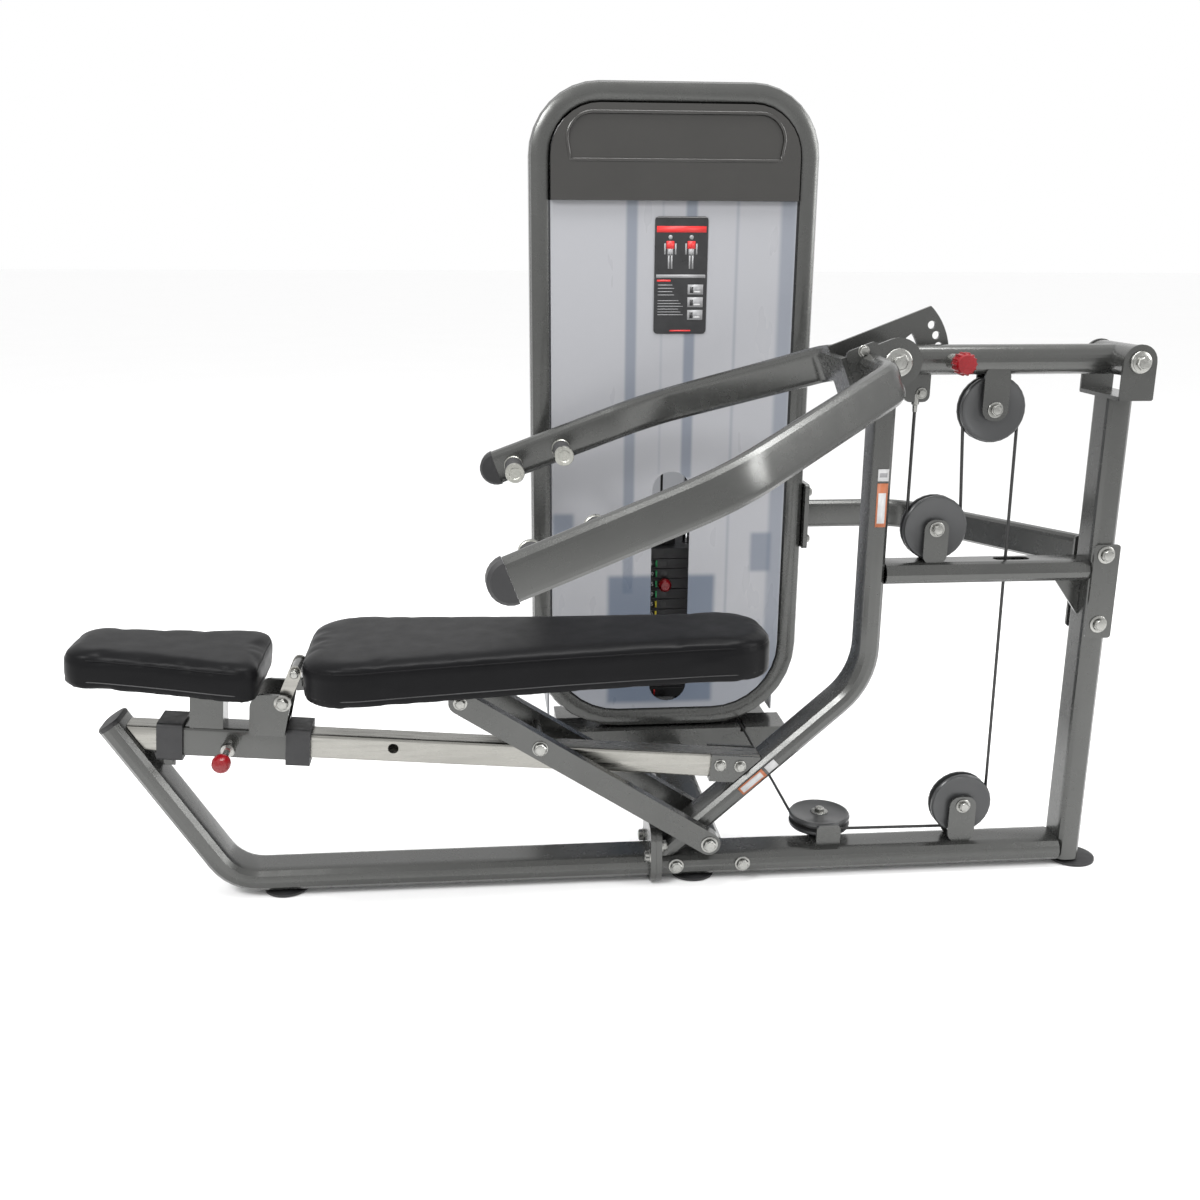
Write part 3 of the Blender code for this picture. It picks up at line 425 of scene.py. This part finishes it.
def swell(item, cap, pressure):
    """Inflate a pad with cloth and cap how far each point moves."""
    before = [v.co.copy() for v in item.data.vertices]
    scene = bpy.context.scene
    scene.frame_set(1)
    cloth = item.modifiers.new("cloth", "CLOTH")
    cloth.settings.quality = 4
    cloth.settings.use_pressure = True
    cloth.settings.uniform_pressure_force = pressure
    cloth.settings.effector_weights.gravity = 0.0
    cloth.settings.tension_stiffness = 12
    cloth.settings.compression_stiffness = 12
    cloth.settings.bending_stiffness = 0.6
    cloth.point_cache.frame_start = 1
    cloth.point_cache.frame_end = 20
    for step in range(1, 21):
        scene.frame_set(step)
    bake(item)
    scene.frame_set(1)
    for vert, old in zip(item.data.vertices, before):
        move = vert.co - old
        if move.length > cap:
            vert.co = old + move * (cap / move.length)


def smooth_points(item, rounds):
    step = item.modifiers.new("ease", "SMOOTH")
    step.factor = 0.5
    step.iterations = rounds
    bake(item)


def pad_outline(name, place, low, high):
    """Points of the CAD pad's rim, in its own frame, in millimetres, in order."""
    inverse = place.inverted()
    points = [inverse @ v.co * 1000 for v in NODES[name].data.vertices]
    rim = [(p.x, p.y) for p in points if low < p.z < high]
    centre = (sum(p[0] for p in rim) / len(rim), sum(p[1] for p in rim) / len(rim))
    rim.sort(key=lambda p: math.atan2(p[1] - centre[1], p[0] - centre[0]))
    tidy = [p for i, p in enumerate(rim) if i == 0 or math.dist(p, rim[i - 1]) > 1.0]
    return tidy, centre


def resample(points, spacing):
    """Even steps round a closed outline."""
    closed = points + [points[0]]
    result = []
    for a, b in zip(closed, closed[1:]):
        count = max(1, int(math.dist(a, b) / spacing))
        for i in range(count):
            t = i / count
            result.append((a[0] + (b[0] - a[0]) * t, a[1] + (b[1] - a[1]) * t))
    return result


def seam_path(item, place, outline, centre, z):
    """Follow the finished pad's side at one height, from outside inwards."""
    tree = BVHTree.FromObject(item, bpy.context.evaluated_depsgraph_get())
    path = []
    middle = Vector(centre)
    for x, y in outline:
        away = (Vector((x, y)) - middle).normalized()
        start = put(place, x + away.x * 40, y + away.y * 40, z)
        aim = (place.to_3x3() @ Vector((-away.x, -away.y, 0.0))).normalized()
        hit = tree.ray_cast(start, aim, 0.2)
        if hit[0] is not None:
            path.append(hit[0])
    return path


def piping(name, path, radius, material, body, lift):
    """Closed round cord along a loop of points."""
    eased = path
    for _ in range(3):
        eased = [(eased[i - 1] + eased[i] * 2 + eased[(i + 1) % len(eased)]) / 4 for i in range(len(eased))]
    solid = bmesh.new()
    rings = []
    total = len(eased)
    for i, here in enumerate(eased):
        along = (eased[(i + 1) % total] - eased[i - 1]).normalized()
        side = along.cross(Vector((0, 0, 1))).normalized()
        up = side.cross(along).normalized()
        here = here + side * lift
        ring = []
        for k in range(8):
            angle = 2 * math.pi * k / 8
            ring.append(solid.verts.new(here + (side * math.cos(angle) + up * math.sin(angle)) * radius))
        rings.append(ring)
    for i in range(total):
        low = rings[i]
        high = rings[(i + 1) % total]
        for j in range(8):
            k = (j + 1) % 8
            solid.faces.new((low[j], low[k], high[k], high[j]))
    return made(name, solid, material, body, smooth=0)


def pinch(item, place, seam_z, depth, width):
    """Draw the side in along the seam line."""
    inverse = place.inverted()
    for vert in item.data.vertices:
        local = inverse @ vert.co
        gap = abs(local.z * 1000 - seam_z) / width
        if gap < 1.0 and abs(vert.normal.z) < 0.8:
            vert.co -= vert.normal * depth * (1 - gap) ** 2


def flatten_board_side(item, source, place):
    """The underside is glued to a flat board, so nothing bulges past it."""
    inverse = place.inverted()
    base = min((inverse @ v.co).z for v in NODES[source].data.vertices)
    for vert in item.data.vertices:
        local = inverse @ vert.co
        if local.z < base:
            local.z = base
            vert.co = place @ local


def cushion(name, source, place, body, seam_z, low, high):
    item = heavy_copy(name, source, PAD_VOXEL)
    smooth_points(item, 4)
    swell(item, PAD_SWELL, 3.5)
    smooth_points(item, 2)
    flatten_board_side(item, source, place)
    outline, centre = pad_outline(source, place, low, high)
    loop = resample(outline, 8.0)
    pinch(item, place, seam_z, 0.0022, 7.0)
    pinch(item, place, low + 12, 0.0012, 7.0)
    item.data.materials.clear()
    item.data.materials.append(VINYL)
    item.data.shade_smooth()
    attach(item, body)
    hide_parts(source)
    bpy.context.view_layer.update()
    for tag, z, radius in (("top", seam_z, 0.0017), ("low", low + 12, 0.0011)):
        path = seam_path(item, place, loop, centre, z)
        piping(name + "_seam_" + tag, path, radius, THREAD if tag == "low" else VINYL, body, 0.0)


# ------------------------------------------------------------ cable

def arc_points(centre, radius, start, end, plane, count):
    points = []
    for i in range(count + 1):
        angle = math.radians(start + (end - start) * i / count)
        a = radius * math.cos(angle)
        b = radius * math.sin(angle)
        shift = {"XZ": (a, 0, b), "XY": (a, b, 0), "YZ": (0, a, b)}[plane]
        points.append(machine(centre[0] + shift[0], centre[1] + shift[1], centre[2] + shift[2]))
    return points


def strand(name, points, body=None):
    """Round cable through points, capped, as a mesh."""
    solid = bmesh.new()
    rings = []
    side = None
    for i, here in enumerate(points):
        ahead = points[min(i + 1, len(points) - 1)]
        back = points[max(i - 1, 0)]
        along = (ahead - back).normalized()
        if side is None:
            side = along.orthogonal().normalized()
        side = (side - along * side.dot(along)).normalized()
        up = along.cross(side)
        ring = []
        for k in range(12):
            angle = 2 * math.pi * k / 12
            ring.append(solid.verts.new(here + (side * math.cos(angle) + up * math.sin(angle)) * CABLE_RADIUS))
        rings.append(ring)
    for low, high in zip(rings, rings[1:]):
        for j in range(12):
            k = (j + 1) % 12
            solid.faces.new((low[j], low[k], high[k], high[j]))
    solid.faces.new(rings[0])
    solid.faces.new(list(reversed(rings[-1])))
    bmesh.ops.recalc_face_normals(solid, faces=solid.faces)
    mesh = bpy.data.meshes.new(name)
    solid.to_mesh(mesh)
    solid.free()
    mesh.materials.append(JACKET)
    mesh.shade_smooth()
    item = bpy.data.objects.new(name, mesh)
    bpy.context.scene.collection.objects.link(item)
    if body:
        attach(item, body)
    return item


def straight(a, b, count):
    return [a + (b - a) * i / count for i in range(count + 1)]


def lever_run(name, fixed_end, lever_end, zone=0.008):
    """Straight run from a fixed end to the lever end, with a short zone (metres) beside the lever; that zone still
    bows.
    """
    whole = (lever_end - fixed_end).length
    turn = fixed_end.lerp(lever_end, 1.0 - zone / whole)
    item = strand(name, straight(fixed_end, turn, 6) + straight(turn, lever_end, 14)[1:])
    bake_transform(item)


def cables():
    mid = arc_points((-322, 0, 695), 52, 180, 363.4, "XZ", 28)
    lever = arc_points((-231, 0, 915), 52, 183.4, -0.6, "XZ", 28)
    base = arc_points((-223, 0, 133), 52, -0.6, -90.6, "XZ", 16)
    turn = arc_points((-493, 52, 84), 52, 270, 180, "XY", 16)
    low = arc_points((-545, 694.5, 124), 40, -90, 0, "YZ", 16)
    top = arc_points((-585, 734.5, 1400), 40, 0, 90, "XZ", 14)
    top += arc_points((-688, 734.5, 1400), 40, 90, 180, "XZ", 14)
    fixed = base + turn + low + top
    main = strand("cable_frame_run", fixed, "frame")
    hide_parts("cable")
    strand("cable_mid_wrap", mid, "frame")
    strand("cable_lever_wrap", lever, "lever")
    anchor = machine(-374, 0, 930)
    lever_run("cable_anchor_run", mid[0], anchor)
    lever_run("cable_rise_run", mid[-1], lever[0])
    lever_run("cable_drop_run", base[0], lever[-1])
    hook = machine(-728, 734.5, 552)
    last = strand("cable_stack_run", straight(top[-1], hook, 24))
    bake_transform(last)
    solid = bmesh.new()
    steps = [(0, 0.0055), (0.001, 0.007), (0.02, 0.007), (0.022, 0.0045), (0.034, 0.004)]
    turned(solid, machine(-374, 0, 944), Vector((0, 0, -1)), steps, 20)
    made("cable_ferrule", solid, ZINC, "lever")


# ------------------------------------------------------------ hardware

def bolts():
    for tag, way in (("near", -1), ("far", 1)):
        point = (3, 78.5 * way, 1004)
        button("lever_pivot_washer_" + tag, MACHINE, point, (0, way, 0), 20, 5.5, ZINC, "frame")
        hex_bolt("lever_pivot_bolt_" + tag, MACHINE, (3, 83.5 * way, 1004), (0, way, 0), 13, "frame", 1.25)
        button("arm_pivot_washer_" + tag, ARMS, (0, 53.5 * way, 0), (0, way, 0), 25, 4.2, ZINC, "arms")
        hex_bolt("arm_pivot_bolt_" + tag, ARMS, (0, 57.2 * way, 0), (0, way, 0), 14, "arms", 1.2)
        hex_bolt("mid_sheave_bolt_" + tag, MACHINE, (-322, 22 * way, 695), (0, way, 0), 10.6, "frame", 1.35)
        hex_bolt("base_sheave_bolt_" + tag, MACHINE, (-223, 22 * way, 133), (0, way, 0), 10.6, "frame", 1.35)
        hex_bolt("lever_sheave_bolt_" + tag, MACHINE, (-231, 22 * way, 915), (0, way, 0), 10.6, "lever", 1.35)
        hex_bolt("anchor_bolt_" + tag, MACHINE, (-366, 6 * way, 944), (0, way, 0), 8, "lever", 1.3)
        hex_bolt("link_base_bolt_" + tag, MACHINE, (-742, 77 * way, 97), (0, way, 0), 12, "link", 1.35)
        hex_bolt("link_cross_bolt_" + tag, MACHINE, (-1065, 77 * way, 304.7), (0, way, 0), 12, "link", 1.2)
        hex_bolt("link_top_bolt_" + tag, MACHINE, (-1210, 77 * way, 398), (0, way, 0), 10, "link", 1.3)
        hex_bolt("ear_bolt_" + tag, RAIL, (61, 50 * way, 92), (0, way, 0), 11.5, "carriage", 1.35)
        hex_bolt("ear_top_bolt_" + tag, RAIL, (80, 43 * way, 147), (0, way, 0), 8, "carriage", 1.1)
        for level in (-43, 43):
            point = (-54, 60 * way, level)
            hex_bolt("arm_root_bolt_%s_%d" % (tag, level + 50), ARMS, point, (0, way, 0), 8.6, "arms", 1.2)
    for i, z in enumerate((646, 511)):
        hex_bolt("clamp_bolt_%d" % i, MACHINE, (0, -44, z), (0, -1, 0), 12.2, "frame", 1.35)
    for i, x in enumerate((-800, -669)):
        hex_bolt("base_bolt_%d" % i, MACHINE, (x, -45.2, 38), (0, -1, 0), 11.5, "frame", 1.3)
    for i, x in enumerate((886, 925)):
        hex_bolt("rail_bolt_%d" % i, RAIL, (x, -31, 4), (0, -1, 0), 9.5, "frame", 1.25)
    for i, y in enumerate((-48, 48)):
        hex_bolt("flange_bolt_front_%d" % i, MACHINE, (-852, y, 62), (-1, 0, 0), 11.6, "frame", 1.1)
        hex_bolt("flange_bolt_rear_%d" % i, MACHINE, (-830, y, 84), (1, 0, 0), 11, "frame", 1.1)
    hex_bolt("turn_sheave_bolt", MACHINE, (-493, 52, 97), (0, 0, 1), 10.6, "frame", 1.6)
    for i, (y, z) in enumerate(((578, 545), (622, 545), (578, 655), (622, 655))):
        hex_bolt("brace_bolt_%d" % i, MACHINE, (-411, y, z), (1, 0, 0), 9, "frame", 1.3)
    for i, x in enumerate((-585, -688)):
        hex_bolt("top_sheave_bolt_%d" % i, MACHINE, (x, 711, 1400), (0, -1, 0), 9.4, "frame", 1.2)


def pull_knobs():
    """Bright sleeve and rolled knob over each spring pin."""
    solid = bmesh.new()
    steps = [(0, 0.0115), (0.006, 0.0115), (0.0065, 0.0122), (0.030, 0.0122), (0.0315, 0.0135), (0.0405, 0.0135)]
    turned(solid, put(RAIL, -32, -31.2, 4), Vector((0, -1, 0)), steps + [(0.044, 0.012), (0.0447, 0.0066)], 28)
    made("pull_pin_sleeve", solid, ZINC, "carriage")
    shaft = bmesh.new()
    turned(shaft, put(RAIL, -32, -75, 4), Vector((0, -1, 0)), [(0, 0.0058), (0.044, 0.0058)], 20)
    made("pull_pin_shaft", shaft, ZINC, "pull_pin")
    collar = bmesh.new()
    steps = [(0, 0.0135), (0.03, 0.0135), (0.031, 0.0145), (0.036, 0.0145), (0.0375, 0.012)]
    turned(collar, machine(-320, -26, 1003), Vector((0, -1, 0)), steps, 28)
    made("adjust_pin_collar", collar, ZINC, "lever")
    neck = bmesh.new()
    turned(neck, machine(-320, -60, 1003), Vector((0, -1, 0)), [(0, 0.0078), (0.0088, 0.0078)], 20)
    made("adjust_pin_neck", neck, ZINC, "adjust_pin")
    rim = bmesh.new()
    for i in range(14):
        angle = 2 * math.pi * i / 14
        spot = machine(-320 + 18.2 * math.cos(angle), -71, 1003 + 18.2 * math.sin(angle))
        turned(rim, spot, Vector((0, -1, 0)), [(0, 0.0016), (0.001, 0.0022), (0.022, 0.0022), (0.0235, 0.0014)], 8)
    made("adjust_pin_flutes", rim, RED, "adjust_pin")


def grips():
    for side, way in (("near", -1), ("far", 1)):
        for tag, u, w in (("outer", -712, -4), ("inner", -604, -7)):
            inner = 463 + (-399 - u) / 349 * 26 - 19
            start = put(ARMS, u, (inner - 2.2) * way, w)
            along = (ARMS.to_3x3() @ Vector((0, -way, 0))).normalized()
            name = "handle_%s_%s" % (side, tag)
            collar = bmesh.new()
            steps = [(0, 0.0188), (0.001, 0.0198), (0.010, 0.0198), (0.0115, 0.0185)]
            turned(collar, start, along, steps, 36)
            made(name + "_collar", collar, ALUMINIUM, "arms")
            rubber = bmesh.new()
            steps = [(0.0112, 0.0172), (0.013, 0.0182)]
            for i in range(12):
                at = 0.016 + i * 0.0066
                steps += [(at, 0.0190), (at + 0.0046, 0.0190), (at + 0.0052, 0.0182), (at + 0.0060, 0.0182)]
            steps += [(0.0975, 0.0190), (0.0995, 0.0178)]
            turned(rubber, start, along, steps, 32)
            sleeve = made(name + "_sleeve", rubber, GRIP, "arms")
            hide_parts(name)
            cap = bmesh.new()
            steps = [(0.0992, 0.0192), (0.100, 0.0203), (0.111, 0.0203), (0.1128, 0.0192)]
            steps += [(0.1130, 0.0125), (0.1118, 0.0110)]
            turned(cap, start, along, steps, 36)
            made(name + "_end", cap, ALUMINIUM, "arms")


def sheave_faces():
    """Raised rim and hub on each cable wheel."""
    wheels = [("mid_sheave", (-322, 0, 695), (0, 1, 0), 61), ("base_sheave", (-223, 0, 133), (0, 1, 0), 61),
              ("lever_sheave", (-231, 0, 915), (0, 1, 0), 61), ("turn_sheave", (-493, 52, 84), (0, 0, 1), 61)]
    for name, centre, axis, radius in wheels:
        for tag, way in (("a", -1), ("b", 1)):
            along = Vector(axis) * way
            solid = bmesh.new()
            start = machine(*centre) + along * 0.0126
            r = radius * 0.001
            steps = [(0, r * 0.965), (0.0012, r * 0.955), (0.0012, r * 0.88), (0.0005, r * 0.86), (0.0005, r * 0.30),
                     (0.0014, r * 0.28)]
            turned(solid, start, along, steps, 48)
            made(name + "_face_" + tag, solid, DISC, name)


def edge_beads():
    """Rubber pads over the three feet, in place of the CAD feet."""
    for name, x, top in (("front", -1554, 12), ("mid", -761, 12), ("rear", 22, 14)):
        solid = bmesh.new()
        r = 0.046 if name == "rear" else 0.042
        steps = [(0.0002, r * 0.9), (0.002, r), (0.006, r), (0.0085, r * 0.86), (0.011, r * 0.5)]
        turned(solid, machine(x, 0, 0), Vector((0, 0, 1)), steps, 40)
        pad_piece = made("foot_pad_" + name, solid, RUBBER, "frame")
        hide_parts("foot_" + name)


# ------------------------------------------------------------ printed parts, and the painted shade in the plate holes

def decal(name, boxes, body="frame"):
    """Thin printed patches: (material, place, x0, x1, y0, y1, z0, z1) rows grouped by material."""
    groups = {}
    for row in boxes:
        groups.setdefault(row[0].name, []).append(row)
    for i, rows in enumerate(groups.values()):
        solid = bmesh.new()
        for row in rows:
            slab(solid, row[1], *row[2:])
        made("%s_%d" % (name, i), solid, rows[0][0], body, smooth=0)


def disc(solid, x, z, radius, y0, y1, sides=16):
    steps = [(0, radius * 0.001), ((y0 - y1) * 0.001, radius * 0.001)]
    turned(solid, machine(x, y0, z), Vector((0, -1, 0)), steps, sides)


def placard():
    y = 578.1
    rows = [(WHITE_PRINT, MACHINE, -774, -662, y - 0.35, y, 1257, 1257.8),
            (RED_BAND, MACHINE, -772, -664, y - 0.5, y, 1226, 1239),
            (GREY_PRINT, MACHINE, -772, -664, y - 0.5, y, 1131, 1138),
            (RED_BAND, MACHINE, -770, -740, y - 0.5, y, 1123, 1127)]
    for i in range(4):
        rows.append((GREY_PRINT, MACHINE, -768, -736 + (i % 2) * 4, y - 0.5, y, 1115 - i * 7, 1116.6 - i * 7))
    for i in range(6):
        rows.append((GREY_PRINT, MACHINE, -768, -722 + (i % 3) * 5, y - 0.5, y, 1082 - i * 6, 1083.4 - i * 6))
    for i in range(3):
        low = 1096 - i * 27
        rows.append((GREY_PRINT, MACHINE, -702, -668, y - 0.5, y, low, low + 21))
        rows.append((BLACK_PRINT_AND_HOLE_SHADE, MACHINE, -697, -690, y - 0.8, y - 0.4, low + 3, low + 16))
        rows.append((WHITE_PRINT, MACHINE, -688, -674, y - 0.8, y - 0.4, low + 4, low + 7))
    rows.append((RED_BAND, MACHINE, -740, -694, y - 0.5, y, 1017, 1020))
    decal("placard_print", rows)
    body = bmesh.new()
    torso = bmesh.new()
    for x in (-742, -696):
        disc(body, x, 1216, 4.6, y, y - 0.5)
        for leg in (-5, 1.5):
            slab(body, MACHINE, x + leg, x + leg + 3.6, y - 0.5, y, 1150, 1180)
        for arm_x in (-13.5, 10):
            slab(body, MACHINE, x + arm_x, x + arm_x + 3.4, y - 0.5, y, 1180, 1203)
        slab(torso, MACHINE, x - 8.5, x + 8.5, y - 0.6, y, 1192, 1208)
        slab(body, MACHINE, x - 6, x + 6, y - 0.5, y, 1178, 1192)
    made("placard_figures", body, GREY_PRINT, "frame", smooth=0)
    made("placard_figures_top", torso, RED_BAND, "frame", smooth=0)


def number(name, text, point, height, material, body):
    """Flat numeral facing the bench side, as mesh."""
    curve = bpy.data.curves.new(name, "FONT")
    curve.body = text
    curve.size = height * 0.001
    curve.align_x = "CENTER"
    curve.align_y = "CENTER"
    curve.resolution_u = 2
    curve.extrude = 0.0001
    helper = bpy.data.objects.new(name + "_curve", curve)
    bpy.context.scene.collection.objects.link(helper)
    graph = bpy.context.evaluated_depsgraph_get()
    graph.update()
    mesh = bpy.data.meshes.new_from_object(helper.evaluated_get(graph))
    bpy.data.objects.remove(helper)
    mesh.transform(Matrix.Translation(point) @ Matrix.Rotation(math.radians(90), 4, "X"))
    mesh.materials.clear()
    mesh.materials.append(material)
    item = bpy.data.objects.new(name, mesh)
    bpy.context.scene.collection.objects.link(item)
    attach(item, body)


def plate_labels():
    front = PLATE_FRONT_Y
    for i in range(PLATE_COUNT):
        lifted = i >= LIFTED_FROM
        z = 131.8 + 12.5 + i * PLATE_PITCH + (0.3 if lifted else 0.0)
        count = PLATE_COUNT - i
        body = "stack" if lifted else "frame"
        tone = GREEN_PRINT if count <= 4 else YELLOW_PRINT if count <= 9 else RED_BAND
        rows = [(BLACK_PRINT_AND_HOLE_SHADE, MACHINE, -771, -745, front - 0.5, front, z - 9, z + 9),
                (tone, MACHINE, -749, -745, front - 0.9, front - 0.5, z - 8, z + 8)]
        decal("plate_label_%02d" % count, rows, body)
        number("plate_number_%02d" % count, str(5 * count), machine(-760, front - 0.8, z), 13, WHITE_PRINT, body)
        # Painted shade: a thin black disc on each plate's face stands in for the dark inside its pin hole; the
        # pinned plate gets none.
        hole_shade = bmesh.new()
        steps = [(0, 0.0085), (0.0006, 0.0085), (0.0009, 0.0070)]
        turned(hole_shade, machine(-728, front + 0.1, z), Vector((0, -1, 0)), steps, 20)
        if count != PINNED_PLATE:
            made("plate_hole_shade_%02d" % count, hole_shade, BLACK_PRINT_AND_HOLE_SHADE, body)
        else:
            hole_shade.free()


def stickers():
    """Plain caution-coloured patches with no wording."""
    rows = [(WHITE_PRINT, MACHINE, -447, -427, -40.6, -40.2, 790, 812),
            (GREY_PRINT, MACHINE, -444, -430, -40.9, -40.6, 797, 805),
            (ORANGE_PRINT, MACHINE, -447, -427, -40.6, -40.2, 705, 786),
            (WHITE_PRINT, MACHINE, -444, -430, -40.9, -40.6, 712, 768)]
    decal("upright_patch", rows)
    along = Matrix.Translation(machine(-640, -40.4, 221)) @ Matrix.Rotation(math.radians(-41.8), 4, "Y")
    rows = [(ORANGE_PRINT, along, -50, 10, -0.4, 0.1, -9, 9), (WHITE_PRINT, along, -46, 4, -0.7, -0.3, -6, 6),
            (WHITE_PRINT, along, 16, 40, -0.4, 0.1, -8, 8)]
    decal("brace_patch", rows)


def head_trim():
    """Raised rim round the head cover's panel."""
    outline = [(-960, 1372), (-508, 1372)]
    for i in range(9):
        angle = math.radians(90 * i / 8)
        outline.append((-556 + 55 * math.cos(angle), 1412 + 55 * math.sin(angle)))
    for i in range(9):
        angle = math.radians(90 + 90 * i / 8)
        outline.append((-912 + 55 * math.cos(angle), 1412 + 55 * math.sin(angle)))
    loop = [machine(x, 566.2, z) for x, z in resample(outline, 12.0)]
    solid = bmesh.new()
    rings = []
    total = len(loop)
    for i, here in enumerate(loop):
        along = (loop[(i + 1) % total] - loop[i - 1]).normalized()
        side = along.cross(Vector((0, 1, 0))).normalized()
        ring = []
        for k in range(8):
            angle = 2 * math.pi * k / 8
            offset = side * math.cos(angle) * 0.0035 + Vector((0, 1, 0)) * math.sin(angle) * 0.0016
            ring.append(solid.verts.new(here + offset))
        rings.append(ring)
    for i in range(total):
        for j in range(8):
            k = (j + 1) % 8
            solid.faces.new((rings[i][j], rings[i][k], rings[(i + 1) % total][k], rings[(i + 1) % total][j]))
    made("head_panel_rim", solid, COVER, "frame", smooth=0)


# ------------------------------------------------------------ studio

def camera():
    yaw, pitch, roll = (math.radians(a) for a in CAMERA_ANGLES)
    forward = Vector((math.sin(yaw) * math.cos(pitch), math.cos(yaw) * math.cos(pitch), -math.sin(pitch)))
    right = Vector((math.cos(yaw), -math.sin(yaw), 0.0))
    up = right.cross(forward)
    across = right * math.cos(roll) + up * math.sin(roll)
    above = up * math.cos(roll) - right * math.sin(roll)
    data = bpy.data.cameras.new("camera")
    item = bpy.data.objects.new("camera", data)
    bpy.context.scene.collection.objects.link(item)
    place = Matrix((across, above, -forward)).transposed().to_4x4()
    place.translation = machine(*CAMERA_AT)
    item.matrix_world = place
    data.sensor_width = 36.0
    data.lens = CAMERA_LENS
    data.shift_x = 0.0073
    data.shift_y = 0.0169
    data.clip_end = 60.0
    bpy.context.scene.camera = item


def lamp(name, at, target, size, power, colour=(1.0, 1.0, 1.0)):
    data = bpy.data.lights.new(name, "AREA")
    data.shape = "RECTANGLE"
    data.size = size[0]
    data.size_y = size[1]
    data.energy = power
    data.color = colour
    item = bpy.data.objects.new(name, data)
    bpy.context.scene.collection.objects.link(item)
    item.location = at
    item.rotation_mode = "QUATERNION"
    item.rotation_quaternion = (Vector(target) - Vector(at)).to_track_quat("-Z", "Y")


def studio():
    floor = bpy.data.meshes.new("floor")
    half = 60.0
    corners = [(-half, -half, 0), (half, -half, 0), (half, half, 0), (-half, half, 0)]
    floor.from_pydata(corners, [], [(0, 1, 2, 3)])
    item = bpy.data.objects.new("floor", floor)
    bpy.context.scene.collection.objects.link(item)
    look = Look("studio_floor", (0.97, 0.97, 0.97), 0.0, 0.9)
    look.tint(look.noise(1.2), 0.005)
    floor.materials.append(look.material)
    world = bpy.data.worlds.new("studio")
    bpy.context.scene.world = world
    world.use_nodes = True
    background = world.node_tree.nodes["Background"]
    background.inputs["Color"].default_value = (1.0, 1.0, 1.0, 1.0)
    background.inputs["Strength"].default_value = 1.0
    lamp("key", (-2.4, -2.6, 3.4), (0.0, 0.0, 0.6), (1.6, 1.0), 120)
    lamp("top", (0.3, -0.2, 3.6), (0.2, 0.0, 0.4), (2.6, 0.7), 110)
    lamp("side", (3.2, -1.6, 2.0), (0.4, 0.0, 0.7), (0.7, 2.0), 50)
    view = bpy.context.scene.view_settings
    view.view_transform = "Standard"


CAMERA_ANGLES = (5.26, 16.31, 0.23)
CAMERA_AT = (-1175.0, -2292.0, 1201.0)
CAMERA_LENS = 38.57


def main():
    coat("base_front_tube base_main_beam front_upright rear_upright mid_beam brace_tube brace_clamp_plate", GREY)
    coat("rail_front_bracket rail_rear_bracket carriage_sleeve back_frame link_near link_far lever_beam", GREY)
    coat("arm_bracket arm_near arm_far tower_frame tower_base tower_link_beam top_pulley_bracket", GREY)
    coat("head_cover", COVER)
    coat("base_front_end_cap lever_stop bushing_front bushing_rear arm_cap_near arm_cap_far", RUBBER)
    coat("lever_sheave mid_sheave base_sheave turn_sheave tower_sheave top_right_sheave top_left_sheave", DISC)
    coat("seat_rail hinge_ears", CHROME)
    coat("guide_rod_left guide_rod_right selector_rod", ROD)
    coat("adjust_pin pull_pin weight_pin", RED)
    coat("weight_stack_lower weight_stack_lifted head_plate", IRON)
    coat("front_shroud", SHEET)
    coat("rear_shroud", REAR_SHEET)
    coat("instruction_placard", BLACK_PRINT_AND_HOLE_SHADE)
    soften(sorted(NODES))
    camera()
    studio()
    cushion("seat_cushion", "seat_pad", RAIL, "carriage", 165.0, 114.0, 164.0)
    cushion("back_cushion", "back_pad", BACK, "back", 34.0, -27.0, 33.0)
    cables()
    bolts()
    pull_knobs()
    grips()
    sheave_faces()
    edge_beads()
    placard()
    plate_labels()
    stickers()
    head_trim()


main()
